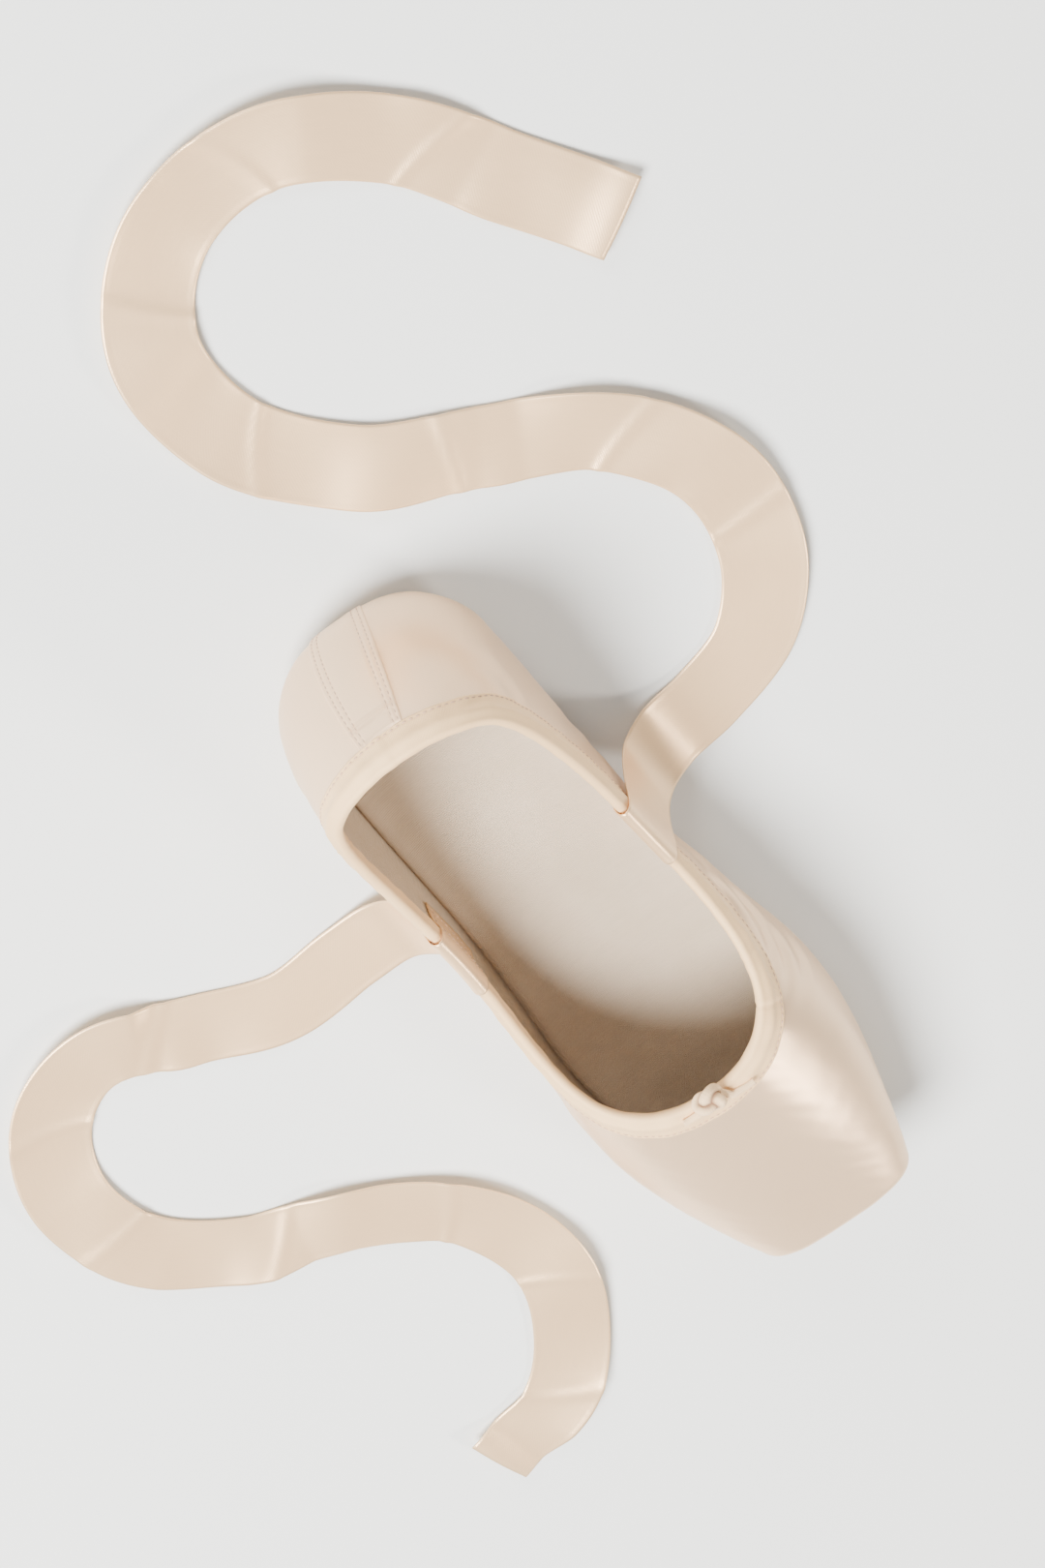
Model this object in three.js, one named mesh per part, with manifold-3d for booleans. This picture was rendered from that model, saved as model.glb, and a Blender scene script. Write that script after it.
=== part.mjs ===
// A satin pointe shoe: hollow upper with a blocked toe, leather outsole, insole, collar binding
// with the knot of its drawstring, back strip and two ankle ribbons.
// Millimetres. +X runs from heel to toe, +Y to the wearer's left and +Z up.
// The origin is on the floor, in the middle of the shoe's length and width.
import * as THREE from "three";
import { mergeVertices } from "three/addons/utils/BufferGeometryUtils.js";
import Module from "manifold-3d";

// Driving dimensions
const shoeLength = 235; // back of the upper to the toe platform
const gap = 0.3; // left between pieces that touch
const soleThickness = 2;
const quarterWall = 1.4; // satin on cotton at the heel and sides
const toeWall = 3; // pasted layers of the toe block
const blockStart = 138; // the wall thickens from here ...
const blockEnd = 180; // ... to here
const platformEdge = 3.5; // radius round the toe platform
const heelRound = 23; // length over which the heel closes in plan
const heelTread = 9; // length over which it closes underneath
const heelLean = 60; // length over which its back curves up and forward
const bindingWidth = 8;
const bindingThickness = 0.8;
const stripWidth = 18;
const stripThickness = 0.7;
const stripFoot = 5; // height at which it meets the outsole's edge
const insoleThickness = 2.2;
const insoleClearance = 0.45; // above the upper's inner face, which is faceted
const insoleWidthShare = 0.76; // of the inner width, short of where the wall turns up
const insoleHeel = 8;
const insoleToe = 215;
const openingInset = 5; // the outsole laps this far over the upper's open underside
const soleRelief = 0.3; // how far the outsole's tread is worn flat
const ribbonWidth = 22;
const ribbonThickness = 0.6;

// Sections of the last. x: from the heel; half: half width; bottom, widest, top: heights;
// shoulder, tread: how square the section is above and below its widest point.
const sections = [
  { x: 0, half: 29, bottom: 2.3, widest: 18, top: 90, shoulder: 2.3, tread: 3.2 },
  { x: 30, half: 29.5, bottom: 2.3, widest: 18, top: 88, shoulder: 2.3, tread: 3.2 },
  { x: 60, half: 30, bottom: 4.1, widest: 18.5, top: 76, shoulder: 2.3, tread: 3 },
  { x: 95, half: 30.5, bottom: 6.3, widest: 18.5, top: 63, shoulder: 2.3, tread: 2.8 },
  { x: 125, half: 33.5, bottom: 4.6, widest: 17, top: 57, shoulder: 2.3, tread: 3 },
  { x: 155, half: 37.6, bottom: 2.3, widest: 16.5, top: 51.5, shoulder: 2.35, tread: 3.2 },
  { x: 175, half: 37.8, bottom: 2.3, widest: 17, top: 47.5, shoulder: 2.4, tread: 3.2 },
  { x: 195, half: 34.8, bottom: 2.7, widest: 18, top: 43, shoulder: 2.5, tread: 3 },
  { x: 215, half: 29.6, bottom: 5, widest: 19.5, top: 37.5, shoulder: 2.7, tread: 2.8 },
  { x: 235, half: 23.6, bottom: 8.2, widest: 20.5, top: 32.4, shoulder: 3, tread: 2.8 },
];

// Height of the collar's edge, seen from the side. The throat is where it meets the vamp.
const collarLine = [
  { x: 0, height: 60.5 },
  { x: 11, height: 59.5 },
  { x: 22, height: 54 },
  { x: 40, height: 45.5 },
  { x: 62, height: 37.5 },
  { x: 85, height: 32.8 },
  { x: 105, height: 32.4 },
  { x: 125, height: 37 },
  { x: 140, height: 43.8 },
  { x: 150, height: 49.4 },
  { x: 160, height: 54.5 },
  { x: 240, height: 110 },
];

// The outsole's outline, between its square heel end and its round toe end.
const soleHeel = 6.5;
const soleToe = 211;
const soleOutline = [
  { x: 6.5, half: 12 },
  { x: 11, half: 15.5 },
  { x: 20, half: 18.6 },
  { x: 32, half: 19.6 },
  { x: 50, half: 18 },
  { x: 75, half: 14 },
  { x: 100, half: 12.6 },
  { x: 125, half: 15.6 },
  { x: 150, half: 21.4 },
  { x: 172, half: 24.2 },
  { x: 192, half: 23.2 },
  { x: 211, half: 20.5 },
];
const soleToeRound = 24; // length over which the outsole's toe end closes

// Mesh density
const ringSteps = 60; // round the shoe
const wallRows = 15; // from collar to sole
const traceSteps = 360; // along one meridian, before its rows are picked
const bendWeight = 16; // one radian of bend draws rows together like this much length
const fanHeel = 23; // the meridians' origins lie on a level line, from here ...
const fanToe = 150; // ... to here
const fanHeight = 22; // and this high

const clamp01 = (t) => Math.min(1, Math.max(0, t));
const mix = (a, b, t) => a + (b - a) * t;
const ease = (t) => clamp01(t) ** 2 * (3 - 2 * clamp01(t));
const roundEnd = (t) => Math.sqrt(1 - (1 - clamp01(t)) ** 2);

// One column of a table, as a smooth curve through its rows.
function along(table, column, x) {
  const end = table.length - 1;
  if (x <= table[0].x) return table[0][column];
  if (x >= table[end].x) return table[end][column];
  const i = table.findIndex((row) => row.x > x) - 1;
  const slope = (k) => {
    const before = table[Math.max(k - 1, 0)];
    const after = table[Math.min(k + 1, end)];
    return (after[column] - before[column]) / (after.x - before.x);
  };
  const step = table[i + 1].x - table[i].x;
  const t = (x - table[i].x) / step;
  return (
    table[i][column] * (1 + 2 * t) * (1 - t) ** 2 +
    table[i + 1][column] * t ** 2 * (3 - 2 * t) +
    step * (slope(i) * t * (1 - t) ** 2 - slope(i + 1) * t ** 2 * (1 - t))
  );
}

// The last's cross-section at x, shrunk on all sides by inset.
function sectionAt(x, inset = 0) {
  const past = Math.max(0, x - (shoeLength - platformEdge));
  const edge = platformEdge - Math.sqrt(Math.max(0, platformEdge ** 2 - past ** 2));
  const widest = along(sections, "widest", x);
  const raw = (column) => along(sections, column, x);
  return {
    half: raw("half") * roundEnd(x / heelRound) - edge - inset,
    widest,
    below: (widest - raw("bottom")) * roundEnd(x / heelTread) - edge - inset,
    above: (raw("top") - widest) * roundEnd(x / heelLean) - edge - inset,
    shoulder: raw("shoulder"),
    tread: raw("tread"),
  };
}

// Below zero inside the last, above zero outside.
function outside(p) {
  if (p.x <= 0) return 1 - p.x;
  if (p.x >= shoeLength) return 1 + p.x - shoeLength;
  const s = sectionAt(p.x);
  const [reach, power] = p.z > s.widest ? [s.above, s.shoulder] : [s.below, s.tread];
  return Math.abs(p.y / s.half) ** power + Math.abs((p.z - s.widest) / reach) ** power - 1;
}

// Height of the last's underside at (x, y).
function underside(x, y, inset = 0) {
  const s = sectionAt(x, inset);
  return s.widest - s.below * (1 - clamp01(Math.abs(y) / s.half) ** s.tread) ** (1 / s.tread);
}

// Where inside turns to outside, between low (inside) and high (outside).
function bisect(low, high, isOutside) {
  for (let k = 0; k < 40; k++) {
    const middle = (low + high) / 2;
    if (isOutside(middle)) high = middle;
    else low = middle;
  }
  return (low + high) / 2;
}

function castOntoLast(origin, direction) {
  const at = (r) => origin.clone().addScaledVector(direction, r);
  return at(bisect(0, 2 * shoeLength, (r) => outside(at(r)) > 0));
}

// The last's outward normal at a surface point.
function normalAt(p) {
  const step = 0.02;
  const slope = (axis) => {
    const ahead = p.clone().add(axis);
    const behind = p.clone().sub(axis);
    return outside(ahead) - outside(behind);
  };
  return new THREE.Vector3(
    slope(new THREE.Vector3(step, 0, 0)),
    slope(new THREE.Vector3(0, step, 0)),
    slope(new THREE.Vector3(0, 0, step)),
  ).normalize();
}

const wallAt = (p) =>
  mix(quarterWall, toeWall, ease((p.x - blockStart) / (blockEnd - blockStart)));

function soleHalf(x, inset = 0) {
  const closing = roundEnd((soleToe - inset - x) / soleToeRound);
  return (along(soleOutline, "half", x) - inset) * closing;
}

const aboveCollar = (p) => p.z > along(collarLine, "height", p.x);

const inSoleOpening = (p) =>
  p.x > soleHeel + openingInset &&
  p.x < soleToe - openingInset &&
  Math.abs(p.y) < soleHalf(p.x, openingInset);

// A point on a line of points, where its running total (of length, or of weight) is wanted.
function pointWhere(points, totals, wanted) {
  const found = totals.findIndex((total) => total >= wanted);
  const i = Math.max(1, found < 0 ? totals.length - 1 : found);
  const share = (wanted - totals[i - 1]) / (totals[i] - totals[i - 1]);
  return points[i - 1].clone().lerp(points[i], clamp01(share));
}

// The running total along a line of points; each step counts for stepValue(i).
function runningTotals(points, stepValue) {
  const totals = [0];
  for (let i = 1; i < points.length; i++) totals.push(totals[i - 1] + stepValue(i));
  return totals;
}

function runningLengths(points) {
  return runningTotals(points, (i) => points[i].distanceTo(points[i - 1]));
}

// The origin and outward direction of each meridian, evenly spaced round the plan outline.
function meridianFans(count) {
  const middle = new THREE.Vector3(shoeLength / 2, 0, 20);
  const outlineSteps = 720;
  const outline = Array.from({ length: outlineSteps + 1 }, (_, i) => {
    const turn = (Math.PI * i) / outlineSteps; // from the toe's middle to the heel's
    return castOntoLast(middle, new THREE.Vector3(Math.cos(turn), Math.sin(turn), 0));
  });
  const lengths = runningLengths(outline);
  return Array.from({ length: count }, (_, k) => {
    const share = (2 * k) / count;
    const q = pointWhere(outline, lengths, lengths[outlineSteps] * Math.min(share, 2 - share));
    if (share > 1) q.y = -q.y;
    const origin = new THREE.Vector3(mix(fanHeel, fanToe, q.x / shoeLength), 0, fanHeight);
    const outward = new THREE.Vector3(q.x - origin.x, q.y, 0).normalize();
    return { origin, outward };
  });
}

const tilted = (outward, angle) =>
  outward
    .clone()
    .multiplyScalar(Math.cos(angle))
    .add(new THREE.Vector3(0, 0, Math.sin(angle)));

// The outer surface along one meridian, from the collar's edge to the sole opening.
function traceMeridian({ origin, outward }) {
  const at = (angle) => castOntoLast(origin, tilted(outward, angle));
  const collar = bisect(-0.2, Math.PI / 2, (angle) => aboveCollar(at(angle)));
  const opening = -bisect(0.2, Math.PI / 2, (angle) => inSoleOpening(at(-angle)));
  const points = [];
  for (let i = 0; i <= traceSteps; i++) points.push(at(mix(collar, opening, i / traceSteps)));
  return points;
}

// Picks rows along a traced line: evenly by length, and closer together where it bends.
function pickRows(points, rows) {
  const weights = runningTotals(points, (i) => {
    const step = points[i].clone().sub(points[i - 1]);
    const nextStep = (points[i + 1] ?? points[i]).clone().sub(points[i]);
    const bend = nextStep.length() > 0 ? nextStep.angleTo(step) : 0;
    return step.length() + bendWeight * bend;
  });
  const total = weights[weights.length - 1];
  return Array.from({ length: rows }, (_, row) =>
    pointWhere(points, weights, (total * row) / (rows - 1)),
  );
}

// A point on a traced line, a given distance from its start.
const pointAlong = (points, distance) => pointWhere(points, runningLengths(points), distance);

// A closed body from loops of points: each loop joined to the next, and the last to the first.
function ringBody(loops) {
  const count = loops[0].length;
  const positions = loops.flat().flatMap((p) => [p.x, p.y, p.z]);
  const index = [];
  loops.forEach((_, j) => {
    const below = ((j + 1) % loops.length) * count;
    for (let i = 0; i < count; i++) {
      const next = (i + 1) % count;
      const [a, b, c, d] = [j * count + i, j * count + next, below + next, below + i];
      index.push(a, d, b, b, d, c);
    }
  });
  return bodyFrom(positions, index);
}

// A closed body from a line of thin sections. Each is a loop that runs along one face
// and comes back along the other, so that its ends are capped between facing points.
function loftBody(loops) {
  const count = loops[0].length;
  const positions = loops.flat().flatMap((p) => [p.x, p.y, p.z]);
  const index = [];
  for (let j = 0; j + 1 < loops.length; j++)
    for (let i = 0; i < count; i++) {
      const next = (i + 1) % count;
      const [a, b] = [j * count + i, j * count + next];
      index.push(a, b, b + count, a, b + count, a + count);
    }
  const last = (loops.length - 1) * count;
  for (let i = 0; i + 1 < count / 2; i++) {
    const [a, b, c, d] = [i, i + 1, count - 2 - i, count - 1 - i];
    index.push(a, c, b, a, d, c);
    index.push(last + a, last + b, last + c, last + a, last + c, last + d);
  }
  return bodyFrom(positions, index);
}

function bodyFrom(positions, index) {
  const geometry = new THREE.BufferGeometry();
  geometry.setAttribute("position", new THREE.Float32BufferAttribute(positions, 3));
  geometry.setIndex(index);
  const corner = (i) => new THREE.Vector3().fromBufferAttribute(geometry.attributes.position, i);
  let volume = 0;
  for (let i = 0; i < index.length; i += 3)
    volume += corner(index[i]).dot(corner(index[i + 1]).cross(corner(index[i + 2])));
  if (volume < 0)
    for (let i = 0; i < index.length; i += 3)
      [index[i + 1], index[i + 2]] = [index[i + 2], index[i + 1]];
  geometry.setIndex(index);
  geometry.computeVertexNormals();
  return geometry;
}

const meridians = meridianFans(ringSteps).map(traceMeridian);
const outwardBy = (p, distance) => p.clone().addScaledVector(normalAt(p), distance);

// The upper: one wall from the collar, over the toe block and round under the foot,
// open at the collar and underneath.
function upperGeometry() {
  const rows = meridians.map((points) => pickRows(points, wallRows));
  const outer = [];
  const inner = [];
  for (let row = 0; row < wallRows; row++) {
    outer.push(rows.map((points) => points[row]));
    inner.push(rows.map((points) => outwardBy(points[row], -wallAt(points[row]))));
  }
  return ringBody([...outer, ...inner.reverse()]);
}

// The binding: a channel folded over the collar's edge.
function bindingGeometry() {
  const lapSteps = [bindingWidth, bindingWidth / 2, 0];
  const outerFace = gap + bindingThickness;
  const channels = meridians.map((points) => {
    const edge = points[0];
    const up = edge.clone().sub(pointAlong(points, 1)).normalize();
    const out = normalAt(edge);
    const half = wallAt(edge) / 2;
    const middle = outwardBy(edge, -half);
    const leg = (offset) => lapSteps.map((s) => outwardBy(pointAlong(points, s), offset));
    const inside = (offset) =>
      leg(0)
        .map((p) => outwardBy(p, -wallAt(p) - offset))
        .reverse();
    const over = (radius, turn) =>
      middle
        .clone()
        .addScaledVector(out, radius * Math.cos(turn))
        .addScaledVector(up, radius * Math.sin(turn));
    const crown = [0.25, 0.5, 0.75].map((share) => over(half + outerFace, Math.PI * share));
    const slot = [0.72, 0.28].map((share) => over(half + gap + 0.15, Math.PI * share));
    return [
      ...leg(outerFace),
      ...crown,
      ...inside(outerFace),
      ...inside(gap).reverse(),
      ...slot,
      ...leg(gap).reverse(),
    ];
  });
  const loops = channels[0].map((_, k) => channels.map((channel) => channel[k]));
  return ringBody(loops);
}

// A plate under or over the last's underside, from columns across and stations along.
function plateGeometry(from, to, halfAt, lowAt, highAt) {
  const stations = 30;
  const columns = 11;
  const loops = [];
  for (let i = 0; i < stations; i++) {
    const share = (1 - Math.cos((Math.PI * i) / (stations - 1))) / 2;
    const x = mix(from, to, mix(i / (stations - 1), share, 0.6));
    const across = Array.from(
      { length: columns },
      (_, k) => halfAt(x) * mix(-1, 1, k / (columns - 1)),
    );
    loops.push([
      ...across.map((y) => new THREE.Vector3(x, y, lowAt(x, y))),
      ...across.reverse().map((y) => new THREE.Vector3(x, y, highAt(x, y))),
    ]);
  }
  return loftBody(loops);
}

function outsoleGeometry() {
  const top = (x, y) => underside(x, y) - gap;
  const tread = (x, y) => Math.max(0, top(x, y) - soleThickness - soleRelief);
  return plateGeometry(soleHeel, soleToe, (x) => Math.max(soleHalf(x), 4), tread, top);
}

function insoleGeometry() {
  const seat = (x, y) => underside(x, y, wallAt({ x })) + insoleClearance;
  const top = (x, y) => seat(x, y) + insoleThickness;
  const halfAt = (x) => {
    const inside = sectionAt(x).half - wallAt({ x });
    return inside * insoleWidthShare * roundEnd((insoleToe + 4 - x) / 16);
  };
  return plateGeometry(insoleHeel, insoleToe, halfAt, seat, top);
}

// The strip sewn over the back seam, from the binding down to the outsole.
function backStripGeometry() {
  const columns = 7;
  const rows = 12;
  const back = new THREE.Vector3(-1, 0, 0);
  const lines = Array.from({ length: columns }, (_, k) => {
    const y = stripWidth * mix(-0.5, 0.5, k / (columns - 1));
    const origin = new THREE.Vector3(fanHeel, y, fanHeight);
    const at = (angle) => castOntoLast(origin, tilted(back, angle));
    const collar = bisect(0, Math.PI / 2, (angle) => aboveCollar(at(angle)));
    const foot = -bisect(0, Math.PI / 2, (angle) => at(-angle).z < stripFoot);
    const whole = Array.from({ length: 120 }, (_, i) => at(mix(collar, foot, i / 119)));
    const lengths = runningLengths(whole);
    const top = bindingWidth + gap;
    const below = whole.filter((_, i) => lengths[i] > top);
    return pickRows([pointAlong(whole, top), ...below], rows);
  });
  const loops = Array.from({ length: rows }, (_, j) => [
    ...lines.map((line) => outwardBy(line[j], gap)),
    ...[...lines].reverse().map((line) => outwardBy(line[j], gap + stripThickness)),
  ]);
  return loftBody(loops);
}

// The drawstring's knot, at the front of the throat: two folded ends and the turn that holds them.
async function knotGeometry(seat) {
  const wasm = await Module();
  wasm.setup();
  const lobe = (radii, turn, shift) => {
    const ball = new THREE.SphereGeometry(1, 14, 10);
    ball.deleteAttribute("normal");
    ball.deleteAttribute("uv");
    ball.scale(...radii);
    ball.rotateZ(turn);
    ball.translate(...shift);
    const merged = mergeVertices(ball, 1e-4);
    return new wasm.Manifold(
      new wasm.Mesh({
        numProp: 3,
        vertProperties: merged.attributes.position.array,
        triVerts: new Uint32Array(merged.index.array),
      }),
    );
  };
  const joined = lobe([2.4, 3.4, 1.7], 0.5, [0.4, 2.6, 0])
    .add(lobe([2.4, 3.4, 1.7], -0.5, [0.4, -2.6, 0]))
    .add(lobe([2.2, 1.8, 2.1], 0, [0, 0, 0.3]));
  const mesh = joined.getMesh();
  const geometry = new THREE.BufferGeometry();
  const positions = new Float32Array(mesh.vertProperties);
  geometry.setAttribute("position", new THREE.BufferAttribute(positions, 3));
  geometry.setIndex([...mesh.triVerts]);
  geometry.translate(seat.x, seat.y, seat.z);
  geometry.computeVertexNormals();
  return geometry;
}

// The ribbons: sewn inside the collar, folded over it and loose on the floor.
// Each route is the middle line of a ribbon, point by point from where it is sewn.
const ribbonRoutes = {
  ribbon_left: [
    [88, 27.7, 17],
    [88, 27.2, 24],
    [88, 26.1, 31],
    [88, 26.7, 36.4],
    [88, 29.4, 38.4],
    [88, 32.1, 36],
    [88, 33.2, 29],
    [88, 34.2, 20],
    [88, 37, 10],
    [88, 44, 3.4],
    [87, 58, 1],
    [80, 77, 0.7],
    [60, 92, 0.7],
    [32, 95, 0.7],
    [6, 80, 0.7],
    [-10, 54, 0.7],
    [-26, 28, 0.7],
    [-52, 10, 0.7],
    [-82, 10, 0.7],
    [-103, 30, 0.7],
    [-105, 60, 0.7],
    [-87, 84, 0.7],
    [-62, 99, 0.7],
    [-38, 114, 0.7],
  ],
  ribbon_right: [
    [88, -27.7, 17],
    [88, -27.2, 24],
    [88, -26.1, 31],
    [88, -26.7, 36.4],
    [88, -29.4, 38.4],
    [88, -32.1, 36],
    [88, -33.2, 29],
    [88, -34.2, 20],
    [88, -37, 10],
    [88, -44, 3.4],
    [89, -58, 1],
    [90, -79, 0.7],
    [79, -103, 0.7],
    [68, -124, 0.7],
    [75, -145, 0.7],
    [98, -159, 0.7],
    [127, -156, 0.7],
    [148, -136, 0.7],
    [160, -108, 0.7],
    [180, -85, 0.7],
    [210, -77, 0.7],
    [236, -86, 0.7],
    [256, -104, 0.7],
    [262, -130, 0.7],
  ],
};

function ribbonGeometry(route) {
  const curve = new THREE.CatmullRomCurve3(
    route.map((point) => new THREE.Vector3(...point)),
    false,
    "centripetal",
  );
  const steps = 3 * (route.length - 1); // each stretch between two points in three steps
  const across = new THREE.Vector3(1, 0, 0);
  const loops = [];
  for (let i = 0; i <= steps; i++) {
    const middle = curve.getPoint(i / steps);
    const ahead = curve.getTangent(i / steps);
    across.setZ(0).addScaledVector(ahead, -across.dot(ahead)).normalize();
    const up = ahead.clone().cross(across).normalize();
    const corner = (w, t) =>
      middle
        .clone()
        .addScaledVector(across, (w * ribbonWidth) / 2)
        .addScaledVector(up, (t * ribbonThickness) / 2);
    loops.push([corner(-1, -1), corner(1, -1), corner(1, 1), corner(-1, 1)]);
  }
  return loftBody(loops);
}

const satin = { color: 0xe9d8c8, roughness: 0.38, metalness: 0 };
const finishes = {
  upper: satin,
  binding: { color: 0xeedbc6, roughness: 0.6, metalness: 0 },
  outsole: { color: 0xc9b48d, roughness: 0.8, metalness: 0 },
  insole: { color: 0xe6dccd, roughness: 0.85, metalness: 0 },
  back_strip: satin,
  drawstring_knot: { color: 0xefdfc9, roughness: 0.7, metalness: 0 },
  ribbon_left: { color: 0xecdac6, roughness: 0.35, metalness: 0 },
  ribbon_right: { color: 0xecdac6, roughness: 0.35, metalness: 0 },
};

const throat = meridians[0][0];
const knotSeat = throat.clone().add(new THREE.Vector3(-1, 0, 4.2));
const geometries = {
  upper: upperGeometry(),
  binding: bindingGeometry(),
  outsole: outsoleGeometry(),
  insole: insoleGeometry(),
  back_strip: backStripGeometry(),
  drawstring_knot: await knotGeometry(knotSeat),
  ribbon_left: ribbonGeometry(ribbonRoutes.ribbon_left),
  ribbon_right: ribbonGeometry(ribbonRoutes.ribbon_right),
};

const shoe = new THREE.Group();
for (const [name, geometry] of Object.entries(geometries)) {
  const mesh = new THREE.Mesh(geometry, new THREE.MeshStandardMaterial(finishes[name]));
  mesh.name = name;
  shoe.add(mesh);
}
const backOfStrip = -(gap + stripThickness);
shoe.position.x = -(backOfStrip + shoeLength) / 2;

export default shoe;
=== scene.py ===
import math

import bpy
import numpy as np
from mathutils import Matrix, Vector


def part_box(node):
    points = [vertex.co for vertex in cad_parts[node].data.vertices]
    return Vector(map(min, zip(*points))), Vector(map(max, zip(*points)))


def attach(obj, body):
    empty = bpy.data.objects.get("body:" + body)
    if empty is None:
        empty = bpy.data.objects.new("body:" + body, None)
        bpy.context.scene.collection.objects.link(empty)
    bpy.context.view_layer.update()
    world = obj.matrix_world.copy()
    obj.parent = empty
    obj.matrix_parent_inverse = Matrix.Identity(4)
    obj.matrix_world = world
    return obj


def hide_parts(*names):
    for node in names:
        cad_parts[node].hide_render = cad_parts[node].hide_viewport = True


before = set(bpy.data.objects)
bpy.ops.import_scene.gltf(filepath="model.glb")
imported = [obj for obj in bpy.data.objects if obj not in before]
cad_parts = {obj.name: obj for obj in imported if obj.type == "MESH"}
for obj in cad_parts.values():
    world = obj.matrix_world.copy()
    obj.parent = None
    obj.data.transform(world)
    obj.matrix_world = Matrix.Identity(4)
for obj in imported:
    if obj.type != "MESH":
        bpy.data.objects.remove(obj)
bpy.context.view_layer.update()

# Shapes are worked out in millimetres from the back of the heel; place() puts them in the frame.
last = {
    "length": 235.0,
    "platformEdge": 3.5,   # radius round the toe platform
    "heelRound": 23.0,     # closes the heel in plan
    "heelTread": 9.0,      # closes it underneath
    "heelLean": 60.0,      # curves its back up and forward
    "quarterWall": 1.4,
    "toeWall": 3.0,
    "blockStart": 138.0,
    "blockEnd": 180.0,
}
sections = np.array([  # x, half, bottom, widest, top, shoulder, tread
    (0, 29, 2.3, 18, 90, 2.3, 3.2),
    (30, 29.5, 2.3, 18, 88, 2.3, 3.2),
    (60, 30, 4.1, 18.5, 76, 2.3, 3),
    (95, 30.5, 6.3, 18.5, 63, 2.3, 2.8),
    (125, 33.5, 4.6, 17, 57, 2.3, 3),
    (155, 37.6, 2.3, 16.5, 51.5, 2.35, 3.2),
    (175, 37.8, 2.3, 17, 47.5, 2.4, 3.2),
    (195, 34.8, 2.7, 18, 43, 2.5, 3),
    (215, 29.6, 5, 19.5, 37.5, 2.7, 2.8),
    (235, 23.6, 8.2, 20.5, 32.4, 3, 2.8),
])
collarLine = np.array([  # x, height of the collar's edge
    (0, 60.5), (11, 59.5), (22, 54), (40, 45.5), (62, 37.5), (85, 32.8), (105, 32.4),
    (125, 37), (140, 43.8), (150, 49.4), (160, 54.5), (240, 110),
])
soleOutline = np.array([  # x, half width
    (6.5, 12), (11, 15.5), (20, 18.6), (32, 19.6), (50, 18), (75, 14), (100, 12.6),
    (125, 15.6), (150, 21.4), (172, 24.2), (192, 23.2), (211, 20.5),
])
outsole = {
    "heel": 6.5,
    "toe": 211.0,
    "toeRound": 15.0,
    "heelCorner": 5.0,
    "gap": 0.12,           # between leather and satin
    "thickness": 2.18,
    "relief": 0.3,         # the tread is pressed flat by this much
    "flat": 0.02,          # where it stands on the floor
    "bevel": 0.7,
    "lap": 5.0,            # over the upper's open underside
    "scoreLong": 12.5,     # one diamond of the scoring, along and across
    "scoreWide": 8.3,
    "scoreStart": 141.0,   # where the first two lines cross
    "scoreDepth": 0.32,
    "scoreWidth": 0.42,
    "scoreSpan": (105.0, 206.5),
    "margin": 2.3,         # unscored edge
    "holeRows": (2.1, 4.4),
    "channel": 0.12,       # each row lies in a shallow channel
    "stitch": {"pitch": 3.1, "length": 0.85, "thread": 0.62, "flatness": 0.4},
    "columns": 460,
}
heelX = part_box("upper")[1][0] * 1000 - last["length"]


def place(points):
    return (np.asarray(points, float) + (heelX, 0, 0)) / 1000


def mix(a, b, t):
    return a + (b - a) * t


def ease(t):
    t = np.clip(t, 0, 1)
    return t * t * (3 - 2 * t)


def roundEnd(t, power=2.0):
    return (1 - (1 - np.clip(t, 0, 1)) ** power) ** (1 / power)


def bump(x, middle, width):
    return np.exp(-(((x - middle) / width) ** 2))


def unit(v):
    return v / np.maximum(np.linalg.norm(v, axis=-1, keepdims=True), 1e-12)


def along(table, column, x):
    # a smooth curve through one column of a table
    xs, ys = table[:, 0], table[:, column]
    x = np.clip(np.asarray(x, float), xs[0], xs[-1])
    i = np.clip(np.searchsorted(xs, x, side="right") - 1, 0, len(xs) - 2)
    before = np.maximum(np.arange(len(xs)) - 1, 0)
    after = np.minimum(np.arange(len(xs)) + 1, len(xs) - 1)
    slope = (ys[after] - ys[before]) / (xs[after] - xs[before])
    step = xs[i + 1] - xs[i]
    t = (x - xs[i]) / step
    return (
        ys[i] * (1 + 2 * t) * (1 - t) ** 2 + ys[i + 1] * t * t * (3 - 2 * t)
        + step * (slope[i] * t * (1 - t) ** 2 - slope[i + 1] * t * t * (1 - t))
    )


def sectionAt(x, inset=0.0):
    half, bottom, widest, top, shoulder, tread = (along(sections, k, x) for k in range(1, 7))
    round_ = last["platformEdge"]
    past = np.maximum(0, x - (last["length"] - round_))
    edge = round_ - np.sqrt(np.maximum(0, round_ ** 2 - past ** 2)) + inset
    half = half * roundEnd(x / last["heelRound"]) - edge
    below = (widest - bottom) * roundEnd(x / last["heelTread"]) - edge
    above = (top - widest) * roundEnd(x / last["heelLean"]) - edge
    return half, widest, below, above, shoulder, tread


def outside(p):
    x, y, z = p[..., 0], p[..., 1], p[..., 2]
    half, widest, below, above, shoulder, tread = sectionAt(np.clip(x, 1e-6, last["length"]))
    reach = np.where(z > widest, above, below)
    power = np.where(z > widest, shoulder, tread)
    value = (np.abs(y / np.maximum(half, 1e-6)) ** power
             + np.abs((z - widest) / np.maximum(reach, 1e-6)) ** power - 1)
    value = np.where(x <= 0, 1 - x, value)
    return np.where(x >= last["length"], 1 + x - last["length"], value)


def underside(x, y, inset=0.0):
    half, widest, below, _, _, tread = sectionAt(x, inset)
    return widest - below * (1 - np.clip(np.abs(y) / half, 0, 1) ** tread) ** (1 / tread)


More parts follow.
